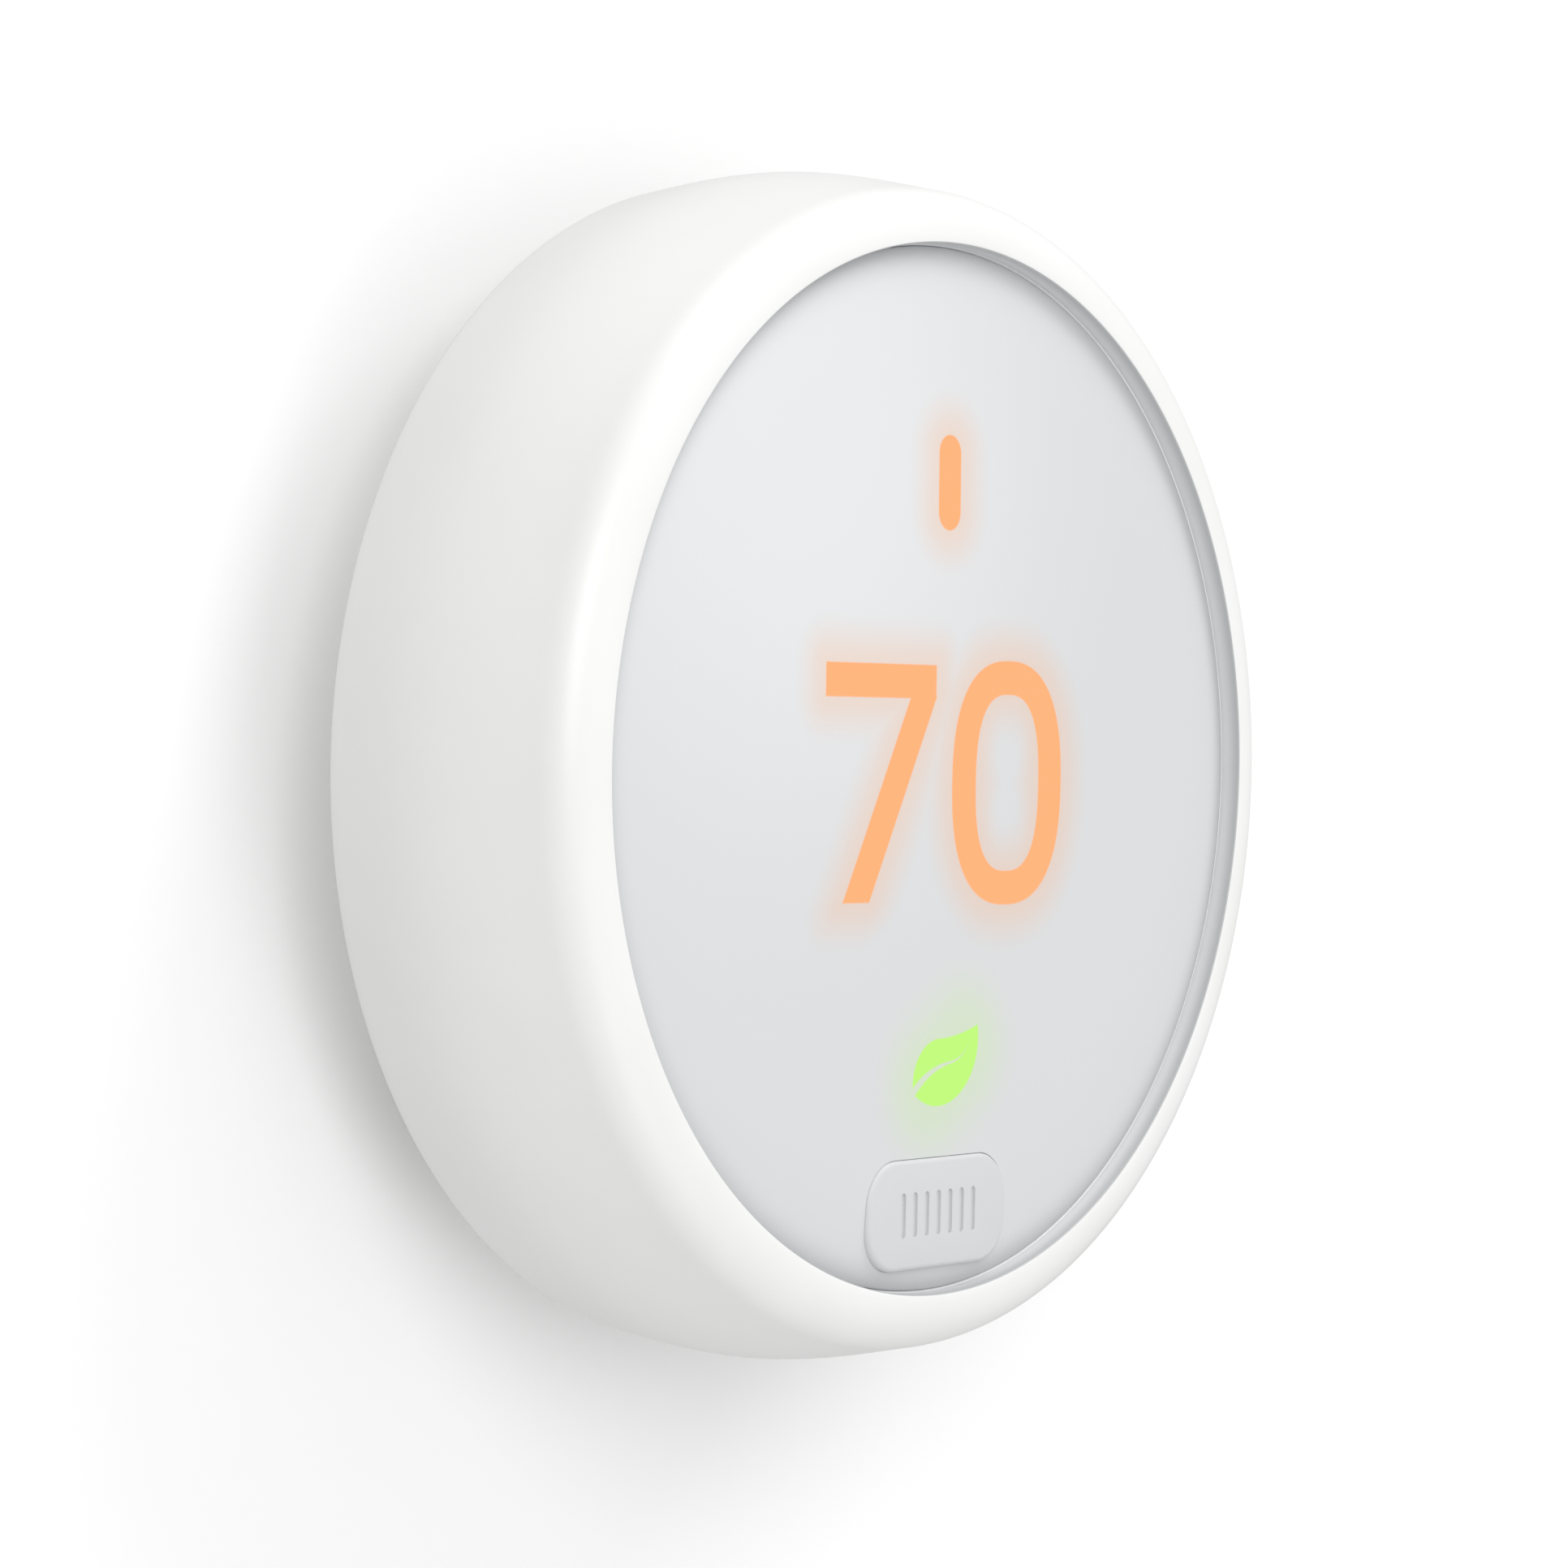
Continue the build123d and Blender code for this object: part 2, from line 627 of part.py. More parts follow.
with BuildPart() as guide_screws:
    with BuildSketch(facing(plate_rear - 1.3)):
        with Locations(*guide_points):
            Circle(2.1)
    extrude(amount=1.2)
    with BuildSketch(facing(plate_rear - 0.1)):
        with Locations(*guide_points):
            Circle(1.2)
    extrude(amount=carrier_rear - plate_rear + 0.1)
    with BuildSketch(facing(carrier_rear)):
        with Locations(*guide_points):
            Circle(0.9)
    extrude(amount=1.9)
    with BuildSketch(facing(plate_rear - 1.4)):
        with Locations(*guide_points):
            RegularPolygon(0.8, 6)
    extrude(amount=0.8, mode=Mode.SUBTRACT)
guide_screws.part.label = "guide_screws"
export_step(guide_screws.part, "parts/guide_screws.step")

# A slippery band around the carrier, which the ring turns on.
with BuildPart() as glide_ring:
    with BuildSketch(radial()):
        with BuildLine():
            Polyline(
                (carrier_outer + 0.05, 13.8), (glide_outer, 13.8), (glide_outer, 22.4),
                (36.1, 22.4), (36.1, 23.2), (carrier_outer + 0.05, 23.2), close=True)
        make_face()
    revolve(axis=Axis.Y)
glide_ring.part.label = "glide_ring"
export_step(glide_ring.part, "parts/glide_ring.step")

with BuildPart() as backlight_plate:
    with BuildSketch(facing(carrier_front + 0.1)):
        RectangleRounded(display_width, display_height, 1)
    extrude(amount=0.8)
backlight_plate.part.label = "backlight_plate"
export_step(backlight_plate.part, "parts/backlight_plate.step")

with BuildPart() as display_panel:
    with BuildSketch(facing(carrier_front + 1)):
        RectangleRounded(display_width, display_height, 1)
    extrude(amount=0.9)
display_panel.part.label = "display_panel"
export_step(display_panel.part, "parts/display_panel.step")

with BuildPart() as display_frame:
    with BuildSketch(facing(carrier_front)):
        RectangleRounded(display_width + 3, display_height + 3, 2)
        RectangleRounded(display_width + 0.4, display_height + 0.4, 1.1, mode=Mode.SUBTRACT)
    extrude(amount=1.9)
    with BuildSketch(facing(carrier_front + 1.1)):
        with Locations((0, display_height / 2 + 1)):
            Rectangle(13.6, 2.4)
    extrude(amount=2, mode=Mode.SUBTRACT)
display_frame.part.label = "display_frame"
export_step(display_frame.part, "parts/display_frame.step")

with BuildPart() as display_flex:
    with BuildSketch(Plane(origin=(0, 0, 0), x_dir=(0, 0, 1), z_dir=(1, 0, 0))):
        with BuildLine() as ribbon:
            FilletPolyline(
                (display_height / 2, 24.1), (flex_z, 24.1), (flex_z, 15), radius=0.8)
        trace(ribbon.line, line_width=0.15)
    extrude(amount=6, both=True)
display_flex.part.label = "display_flex"
export_step(display_flex.part, "parts/display_flex.step")

with BuildPart() as sensor_board:
    with BuildSketch(facing(carrier_front)):
        with Locations((0, sensor_z)):
            Rectangle(13, 4.6)
    extrude(amount=0.6)
sensor_board.part.label = "sensor_board"
export_step(sensor_board.part, "parts/sensor_board.step")

with BuildPart() as motion_sensor:
    with BuildSketch(facing(carrier_front + 0.6)):
        with Locations((-2.6, sensor_z)):
            Circle(2.2)
    extrude(amount=1.1)
    fillet(motion_sensor.edges().filter_by(GeomType.CIRCLE).group_by(Axis.Y)[0], radius=0.5)
motion_sensor.part.label = "motion_sensor"
export_step(motion_sensor.part, "parts/motion_sensor.step")

with BuildPart() as light_sensor:
    with BuildSketch(facing(carrier_front + 0.6)):
        with Locations((3.6, sensor_z)):
            Rectangle(2, 2)
    extrude(amount=0.6)
light_sensor.part.label = "light_sensor"
export_step(light_sensor.part, "parts/light_sensor.step")

# The pale frosted cover: nearly flat, and rolling back towards its edge.
with BuildPart() as face_lens:
    with BuildSketch(radial()):
        with BuildLine():
            Bezier((0, lens_centre), (12, lens_centre), (20, lens_centre - 0.05),
                   (27, lens_centre - 0.15))
            Bezier((27, lens_centre - 0.15), (30.5, lens_centre - 0.2), (33.4, lens_edge + 0.38),
                   (lens_radius - 0.2, lens_edge))
            Line((lens_radius - 0.2, lens_edge), (lens_radius, lens_edge - 0.2))
            Polyline(
                (lens_radius, lens_edge - 0.2), (lens_radius, lens_seat),
                (33.2, lens_seat), (33.2, 23.6), (32.4, 23.6),
                (32.4, lens_centre - lens_thickness - 0.6), (0, lens_centre - lens_thickness))
            Line((0, lens_centre - lens_thickness), (0, lens_centre))
        make_face()
    revolve(axis=Axis.Y)
    with BuildSketch(facing(lens_seat - 2)):
        with Locations((0, badge_z)):
            RectangleRounded(badge_width + 0.16, badge_height + 0.16, 3.08)
    extrude(amount=6, mode=Mode.SUBTRACT)
face_lens.part.label = "face_lens"
export_step(face_lens.part, "parts/face_lens.step")

# The badge: a raised window over the sensors, with a row of shallow upright grooves.
with BuildPart() as sensor_badge:
    with BuildSketch(facing(lens_seat + 0.1)):
        with Locations((0, badge_z)):
            RectangleRounded(badge_width, badge_height, 3)
    extrude(amount=badge_front - lens_seat - 0.1)
    fillet(sensor_badge.faces().sort_by(Axis.Y)[0].edges(), radius=0.35)
    with BuildSketch(facing(badge_front - 0.18)):
        with Locations((0, badge_z)):
            with GridLocations(1.3, 0, 7, 1):
                SlotOverall(3, 0.5, rotation=90)
    extrude(amount=1, mode=Mode.SUBTRACT)
sensor_badge.part.label = "sensor_badge"
export_step(sensor_badge.part, "parts/sensor_badge.step")

# ==== ring: turns on the front =======================================================
with BuildPart() as ring_retainer:
    with BuildSketch(radial()):
        with BuildLine():
            Polyline(
                (retainer_inner, 14), (shell_inner - 0.05, 14), (shell_inner - 0.05, 15.2),
                (retainer_outer, 15.2), (retainer_outer, 23.9), (36.3, 23.9), (36.3, 22.2),
                (retainer_inner, 22.2), close=True)
        make_face()
    revolve(axis=Axis.Y)
ring_retainer.part.label = "ring_retainer"
export_step(ring_retainer.part, "parts/ring_retainer.step")

with BuildPart() as magnet_ring:
    with BuildSketch(radial()):
        with Locations((37.45, 13.1)):
            Rectangle(1.7, 1.8)
    revolve(axis=Axis.Y)
magnet_ring.part.label = "magnet_ring"
export_step(magnet_ring.part, "parts/magnet_ring.step")

# The shell: its side swells to the widest radius and leans in, then a lip rolls over
# to the rim around the lens.
with BuildPart() as outer_ring:
    with BuildSketch(radial()):
        with BuildLine():
            Bezier((39.95, ring_rear + 0.25), (40.2, 10), (ring_radius, 12.2),
                   (ring_radius, ring_widest))
            Bezier((ring_radius, ring_widest), (ring_radius, 18.2), (39.35, 22.2), (38.95, 24.5))
            Bezier((38.95, 24.5), (38.55, 26.3), (37.2, ring_front),
                   (rim_radius + 0.15, ring_front))
            Polyline(
                (rim_radius + 0.15, ring_front), (rim_radius, ring_front - 0.15),
                (rim_radius, 24), (retainer_outer + 0.05, 24), (retainer_outer + 0.05, 20.5),
                (shell_inner, 17.5), (shell_inner, ring_rear), (39.7, ring_rear))
            Line((39.7, ring_rear), (39.95, ring_rear + 0.25))
        make_face()
    revolve(axis=Axis.Y)
outer_ring.part.label = "outer_ring"
export_step(outer_ring.part, "parts/outer_ring.step")
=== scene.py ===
import json
import math

import bmesh
import bpy
from bpy.props import FloatProperty, FloatVectorProperty, IntProperty, PointerProperty
from mathutils import Matrix, Vector
from mathutils.geometry import interpolate_bezier


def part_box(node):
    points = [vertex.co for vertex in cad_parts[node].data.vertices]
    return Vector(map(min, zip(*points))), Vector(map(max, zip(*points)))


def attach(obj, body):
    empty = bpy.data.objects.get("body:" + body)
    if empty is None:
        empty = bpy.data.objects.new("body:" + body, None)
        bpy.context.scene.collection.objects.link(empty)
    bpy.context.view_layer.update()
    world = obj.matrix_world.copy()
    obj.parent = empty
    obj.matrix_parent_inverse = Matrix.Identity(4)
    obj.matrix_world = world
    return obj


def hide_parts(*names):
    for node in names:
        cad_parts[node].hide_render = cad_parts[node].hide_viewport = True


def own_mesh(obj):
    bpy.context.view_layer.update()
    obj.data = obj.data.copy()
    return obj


bl_info = {
    "name": "Wall thermostat",
    "version": (1, 0, 0),
    "blender": (4, 5, 0),
    "location": "3D View > Sidebar > Thermostat",
    "description": "A round wall thermostat: turned ring, frosted face, head and wall base",
    "category": "Object",
}

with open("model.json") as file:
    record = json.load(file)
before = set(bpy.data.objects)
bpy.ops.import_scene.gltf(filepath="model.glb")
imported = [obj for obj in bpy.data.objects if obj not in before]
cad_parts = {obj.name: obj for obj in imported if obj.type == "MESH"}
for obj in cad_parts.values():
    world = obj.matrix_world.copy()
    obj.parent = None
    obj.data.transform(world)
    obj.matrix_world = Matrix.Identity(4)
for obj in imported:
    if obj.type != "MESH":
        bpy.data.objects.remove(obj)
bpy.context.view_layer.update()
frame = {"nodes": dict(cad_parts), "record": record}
nodes = frame["nodes"]

MM = 0.001

# ---- places that several pieces share, taken from the frame, in millimetres -----------
ring_low, ring_high = (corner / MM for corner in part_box("outer_ring"))
RING_RADIUS = ring_high.x
RING_REAR, RING_FRONT = -ring_high.y, -ring_low.y
lens_low, lens_high = (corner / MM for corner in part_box("face_lens"))
LENS_RADIUS = lens_high.x
LENS_CENTRE = -lens_low.y
badge_low, badge_high = (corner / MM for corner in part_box("sensor_badge"))
BADGE_Z = (badge_low.z + badge_high.z) / 2
BADGE_WIDTH, BADGE_HEIGHT = badge_high.x - badge_low.x, badge_high.z - badge_low.z
BADGE_REAR, BADGE_FRONT = -badge_high.y, -badge_low.y
BADGE_CORNER = 3.0
RIM_RADIUS = 35.1


# ==== shader maths ====================================================================
class Num:
    """A number on a socket. Arithmetic on it adds Math nodes to its shader."""

    def __init__(self, shader, socket):
        self.shader, self.socket = shader, socket

    def math(self, operation, *others):
        return self.shader.calc(operation, self, *others)

    def __add__(self, other):
        return self.math("ADD", other)

    def __sub__(self, other):
        return self.math("SUBTRACT", other)

    def __rsub__(self, other):
        return self.shader.calc("SUBTRACT", other, self)

    def __mul__(self, other):
        return self.math("MULTIPLY", other)

    def __truediv__(self, other):
        return self.math("DIVIDE", other)

    def __rtruediv__(self, other):
        return self.shader.calc("DIVIDE", other, self)

    def __pow__(self, other):
        return self.math("POWER", other)

    def __neg__(self):
        return self.math("MULTIPLY", -1.0)

    __radd__ = __add__
    __rmul__ = __mul__

    def abs(self):
        return self.math("ABSOLUTE")

    def most(self, other):
        return self.math("MAXIMUM", other)

    def least(self, other):
        return self.math("MINIMUM", other)


class Shader:
    """A material under construction: its nodes, and the place on the object in millimetres."""

    def __init__(self, name):
        self.material = bpy.data.materials.new(name)
        self.material.use_nodes = True
        self.nodes = self.material.node_tree.nodes
        self.links = self.material.node_tree.links
        self.surface = self.nodes["Principled BSDF"]
        self.place = None

    def add(self, kind, settings=None, values=None):
        """One node: its settings first, then a value or a link for each socket named."""
        node = self.nodes.new(kind)
        for name, setting in (settings or {}).items():
            setattr(node, name, setting)
        for key, value in (values or {}).items():
            self.feed(node.inputs[key], value)
        return node

    def feed(self, socket, value):
        """Link the socket to a number or another socket, or set its constant."""
        if isinstance(value, Num):
            value = value.socket
        if isinstance(value, bpy.types.NodeSocket):
            self.links.new(value, socket)
        elif socket.type == "RGBA" and len(value) == 3:
            socket.default_value = (*value, 1.0)
        else:
            socket.default_value = value

    def calc(self, operation, *terms):
        node = self.add("ShaderNodeMath", {"operation": operation}, dict(enumerate(terms)))
        return Num(self, node.outputs[0])

    def where(self):
        """The point on the object, in millimetres, as one vector socket."""
        if self.place is None:
            source = self.add("ShaderNodeTexCoord").outputs["Object"]
            node = self.add("ShaderNodeVectorMath", {"operation": "SCALE"},
                            {0: source, "Scale": 1 / MM})
            self.place = node.outputs["Vector"]
        return self.place

    def axes(self):
        node = self.add("ShaderNodeSeparateXYZ", None, {0: self.where()})
        return [Num(self, out) for out in node.outputs]

    def stretched(self, scale):
        node = self.add("ShaderNodeVectorMath", {"operation": "MULTIPLY"},
                        {0: self.where(), 1: scale})
        return node.outputs["Vector"]

    def noise(self, scale, detail=3.0, rough=0.5, vector=None):
        values = {"Vector": vector or self.where(), "Scale": scale, "Detail": detail,
                  "Roughness": rough}
        return Num(self, self.add("ShaderNodeTexNoise", None, values).outputs["Fac"])

    def ramp(self, value, low, high):
        """Rises smoothly from 0 at low to 1 at high."""
        node = self.add("ShaderNodeMapRange", {"interpolation_type": "SMOOTHSTEP"},
                        {"Value": value, "From Min": low, "From Max": high})
        return Num(self, node.outputs["Result"])

    def blend(self, amount, first, second):
        """Colour: first where amount is 0, second where it is 1."""
        node = self.add("ShaderNodeMix", {"data_type": "RGBA"},
                        {0: amount, 6: first, 7: second})
        return node.outputs[2]

    def set(self, **sockets):
        """Set or link sockets of the surface: Base_Color=..., Roughness=..."""
        for key, value in sockets.items():
            self.feed(self.surface.inputs[key.replace("_", " ")], value)

    def bump(self, height, strength, distance_mm):
        node = self.add("ShaderNodeBump", None,
                        {"Strength": strength, "Distance": distance_mm * MM, "Height": height})
        self.links.new(node.outputs["Normal"], self.surface.inputs["Normal"])


# ==== finishes ========================================================================
def moulded(name, colour, rough=0.45, grain=6.0, depth=0.01, mottle=0.03, **extra):
    """Moulded plastic or paint: fine grain, slight mottling, a roughness that varies."""
    s = Shader(name)
    cloud = s.noise(0.12, 2.0)
    fine = s.noise(grain, 3.0)
    shade = tuple(c * (1 - mottle) for c in colour)
    s.set(Base_Color=s.blend(cloud, shade, colour),
          Roughness=rough + (cloud - 0.5) * 0.12 + (fine - 0.5) * 0.08, **extra)
    s.bump(fine, 0.35, depth)
    return s.material


def metal(name, colour, rough=0.3, brushed=(1, 1, 1), depth=0.004):
    """Plated or drawn metal, with fine scratches along the way it was worked."""
    s = Shader(name)
    lines = s.noise(5.0, 4.0, 0.6, s.stretched(brushed))
    stain = s.noise(0.5, 3.0)
    dull = tuple(c * 0.8 for c in colour)
    s.set(Base_Color=s.blend(stain * 0.6, colour, dull), Metallic=1.0,
          Roughness=rough + (lines - 0.5) * 0.25)
    s.bump(lines, 0.3, depth)
    return s.material


def circuit_board(name, colour):
    """Solder mask over copper tracks that run in lanes, with small plated vias."""
    s = Shader(name)
    x, _, z = s.axes()
    cell = s.add("ShaderNodeTexVoronoi", {"feature": "F1", "distance": "CHEBYCHEV"},
                 {"Vector": s.where(), "Scale": 0.17, "Randomness": 0.8}).outputs["Color"]
    chance = Num(s, s.add("ShaderNodeSeparateXYZ", None, {0: cell}).outputs[0])
    region = chance.math("GREATER_THAN", 0.5)
    lanes, steps = (x * 1.1).math("PINGPONG", 0.5), (z * 1.1).math("PINGPONG", 0.5)
    track = s.ramp(lanes * region + steps * (1 - region), 0.30, 0.34)
    track = track * chance.math("GREATER_THAN", 0.22)
    dots = s.add("ShaderNodeTexVoronoi", {"feature": "DISTANCE_TO_EDGE"},
                 {"Vector": s.where(), "Scale": 0.33, "Randomness": 0.7})
    spot = s.add("ShaderNodeTexVoronoi", {"feature": "F1"},
                 {"Vector": s.where(), "Scale": 0.33, "Randomness": 0.7})
    via = 1 - s.ramp(Num(s, spot.outputs["Distance"]), 0.05, 0.09)
    edge = Num(s, dots.outputs["Distance"])
    raised = track * s.ramp(edge, 0.01, 0.02)
    lighter = tuple(min(1.0, c * 1.55 + 0.01) for c in colour)
    masked = s.blend(raised, colour, lighter)
    s.set(Base_Color=s.blend(via, masked, (0.75, 0.6, 0.3)), Metallic=via,
          Roughness=0.32 + (s.noise(3.0) - 0.5) * 0.15)
    s.bump(raised, 0.5, 0.03)
    return s.material


def ring_paint():
    """Satin white paint over a turned shell: faint speckle, soft handling marks, and painted
    shade inside the lip.
    """
    s = Shader("ring_white")
    speckle = s.noise(9.0, 2.0)
    marks = s.noise(0.09, 3.0, 0.55)
    look = bpy.context.scene.thermostat_ring
    white = tuple(look.colour)
    warm = tuple(c * k for c, k in zip(white, (0.985, 0.983, 0.975)))
    x, y, z = s.axes()
    radius = (x * x + z * z).math("SQRT")
    # painted shade: inside the lip the colour goes grey, darker towards the front, standing in
    # for the shade in the recess by the lens
    inside = 1 - s.ramp(radius, RIM_RADIUS + 0.05, RIM_RADIUS + 0.1)
    painted_lip_shade = s.blend(s.ramp(-y, RING_FRONT - 1.5, RING_FRONT), (0.82, 0.83, 0.84),
                   (0.46, 0.47, 0.475))
    paint = s.blend(s.ramp(marks, 0.35, 0.7), white, warm)
    s.set(Base_Color=s.blend(inside, paint, painted_lip_shade),
          Roughness=look.roughness + (marks - 0.5) * 0.10 + (speckle - 0.5) * 0.05,
          Coat_Weight=0.12, Coat_Roughness=0.35)
    s.bump(speckle, 0.25, 0.006)
    return s.material


# ---- the lit picture behind the lens, as distances in millimetres ---------------------
SOFT_EDGE = 0.06
GLOW_START = -0.4
WARM_GLOW, LEAF_GLOW = 0.31, 0.24
LEAF_GLOW_REACH = 1.28
# width in mm of the painted shade at the lens's edge
EDGE_SHADE_WIDTH = 2.6
# painted highlight on the lens: its centre in mm and how much it lightens the colour
PAINTED_HIGHLIGHT_X, PAINTED_HIGHLIGHT_Z, PAINTED_HIGHLIGHT_GAIN = -16.0, 21.0, 1.115


def capsule_distance(x, z, centre, width, height):
    """An upright bar with round ends, at that height on the middle line."""
    half = (height - width) / 2
    along = ((z - centre).abs() - half).most(0.0)
    return (x * x + along * along).math("SQRT") - width / 2


def corner_distance(first, second):
    """Distance from the shape that two pairs of faces bound, true round its corners."""
    beyond = (first.most(0.0) ** 2.0 + second.most(0.0) ** 2.0).math("SQRT")
    return beyond + first.most(second).least(0.0)


def seven_distance(x, z, left, bottom, width, height, stroke):
    """A bar on top, and a slanting leg below its right end."""
    top, right = bottom + height, left + width
    bar_mid = (left + right) / 2
    bar = corner_distance((x - bar_mid).abs() - width / 2,
                          (z - (top - stroke / 2)).abs() - stroke / 2)
    leg_width, foot = 2.85, left + 2.15
    rise = height - stroke
    slope = math.hypot(right - leg_width - foot, rise)
    nx, nz = rise / slope, -(right - leg_width - foot) / slope
    middle = nx * (foot + leg_width / 2) + nz * bottom
    band = (x * nx + z * nz - middle).abs() - leg_width / 2 * nx
    leg_top = top - stroke + 0.15
    leg = corner_distance(band, (z - (leg_top + bottom) / 2).abs() - (leg_top - bottom) / 2)
    return bar.least(leg)


def oval_distance(x, z, half_width, half_height, power):
    """Distance to a rounded oval about the origin, outside positive."""
    reach = ((x.abs() / half_width) ** power + (z.abs() / half_height) ** power)
    reach = reach ** (1 / power)
    length = (x * x + z * z + 0.0001).math("SQRT")
    return length * (1 - 1 / (reach + 0.001))


def zero_distance(x, z, centre_x, centre_z, width, height, side, cap):
    """A rounded oval with another taken out of it, side and cap being the strokes."""
    x, z = x - centre_x, z - centre_z
    outer = oval_distance(x, z, width / 2, height / 2, 2.45)
    inner = oval_distance(x, z, width / 2 - side, height / 2 - cap, 2.6)
    return outer.most(-inner)


def leaf_distance(x, z, heel_x, heel_z, turn):
    """A leaf along its own axis from the heel: a full belly, a slimmer back that hollows
    towards the tip, and a tapered vein left open. Also a plain rounded bar about it."""
    x, z = x - heel_x, z - heel_z
    cos, sin = math.cos(turn), math.sin(turn)
    along, across = x * cos + z * sin, z * cos - x * sin

    def disc(centre_along, centre_across, radius):
        away = (along - centre_along) ** 2.0 + (across - centre_across) ** 2.0
        return away.math("SQRT") - radius

    belly = disc(4.175, 1.48, 4.43)
    back = disc(2.762, -0.963, 2.925)
    hollow = (-disc(11.15, 13.57, 13.86)).most(4.22 - along)
    blade = belly.most(back.least(hollow))
    late = (along - 4.5).most(0.0)
    middle = along * 0.22 - along * along * 0.075 + late * late * 0.26
    vein = (1 - along / 6.6) * 0.29 - (across - middle).abs()
    reach = ((along - 4.0).abs() - 2.0).most(0.0)
    about = (reach * reach + (across + 0.5) ** 2.0).math("SQRT") - 2.1
    return blade.most(vein), about


def lens_face():
    """Frosted pale plastic, with the display's picture glowing softly through it, a painted
    highlight at the upper left and painted shade at the rim.
    """
    look = bpy.context.scene.thermostat_face
    s = Shader("lens_frost")
    x, _, z = s.axes()
    tick = capsule_distance(x, z, centre=19.2, width=2.45, height=6.4)
    seven = seven_distance(x, z, left=-13.2, bottom=-8.8, width=12.0, height=15.75,
                           stroke=2.25)
    zero = zero_distance(x, z, centre_x=7.1, centre_z=-0.9, width=12.7, height=16.6,
                         side=2.7, cap=2.3)
    leaf, about_leaf = leaf_distance(x, z, heel_x=-2.9, heel_z=-21.6,
                                     turn=math.radians(31.4))
    warm = tick.least(seven).least(zero)
    lit_warm = 1 - s.ramp(warm, -SOFT_EDGE, SOFT_EDGE)
    lit_leaf = 1 - s.ramp(leaf, -SOFT_EDGE, SOFT_EDGE)
    glow_warm = (1 - s.ramp(warm, GLOW_START, look.glow)) * WARM_GLOW
    leaf_reach = look.glow * LEAF_GLOW_REACH
    glow_leaf = (1 - s.ramp(about_leaf, GLOW_START, leaf_reach)) * LEAF_GLOW
    frost = s.noise(14.0, 2.0)
    cloud = s.noise(0.05, 2.0)
    pale = tuple(look.colour)
    base = s.blend(cloud, pale, tuple(c * 0.985 for c in pale))
    # painted highlight: the colour is lighter towards the upper left, standing in for a soft
    # highlight on the face
    far = ((x - PAINTED_HIGHLIGHT_X) ** 2.0 + (z - PAINTED_HIGHLIGHT_Z) ** 2.0).math("SQRT")
    painted_highlight = 1 - s.ramp(far, 4.0, 38.0)
    base = s.blend(painted_highlight, base, tuple(c * PAINTED_HIGHLIGHT_GAIN for c in pale))
    # painted shade: the frosting's colour darkens towards its edge under the rim, standing in
    # for the shade the lip casts there
    radius = (x * x + z * z).math("SQRT")
    edge = s.ramp(radius, LENS_RADIUS - EDGE_SHADE_WIDTH, LENS_RADIUS + 0.2) ** 1.5
    base = s.blend(edge * look.edge_shade, base, (0.08, 0.085, 0.09))
    # the glow is a little duller than the picture, which gives off its own light
    digits, green = tuple(look.digits), tuple(look.leaf)
    glow = s.blend(glow_warm, base, (0.86, digits[1], digits[2]))
    glow = s.blend(glow_leaf, glow, (green[0], 0.83, green[2]))
    base = s.blend(lit_warm.most(lit_leaf), glow, (0.02, 0.02, 0.02))
    light = s.blend(lit_warm, (0.0, 0.0, 0.0), digits)
    light = s.blend(lit_leaf, light, green)
    s.set(Base_Color=base, Roughness=0.5 + (frost - 0.5) * 0.1, Emission_Color=light,
          Emission_Strength=1.0, Specular_IOR_Level=0.4)
    s.bump(frost, 0.15, 0.004)
    return s.material


def glassy(name, colour, alpha, rough=0.04):
    s = Shader(name)
    smear = s.noise(0.6, 3.0)
    s.set(Base_Color=s.blend(smear, colour, tuple(c * 0.94 for c in colour)),
          Roughness=rough + smear * 0.05, Alpha=alpha + smear * 0.04)
    return s.material


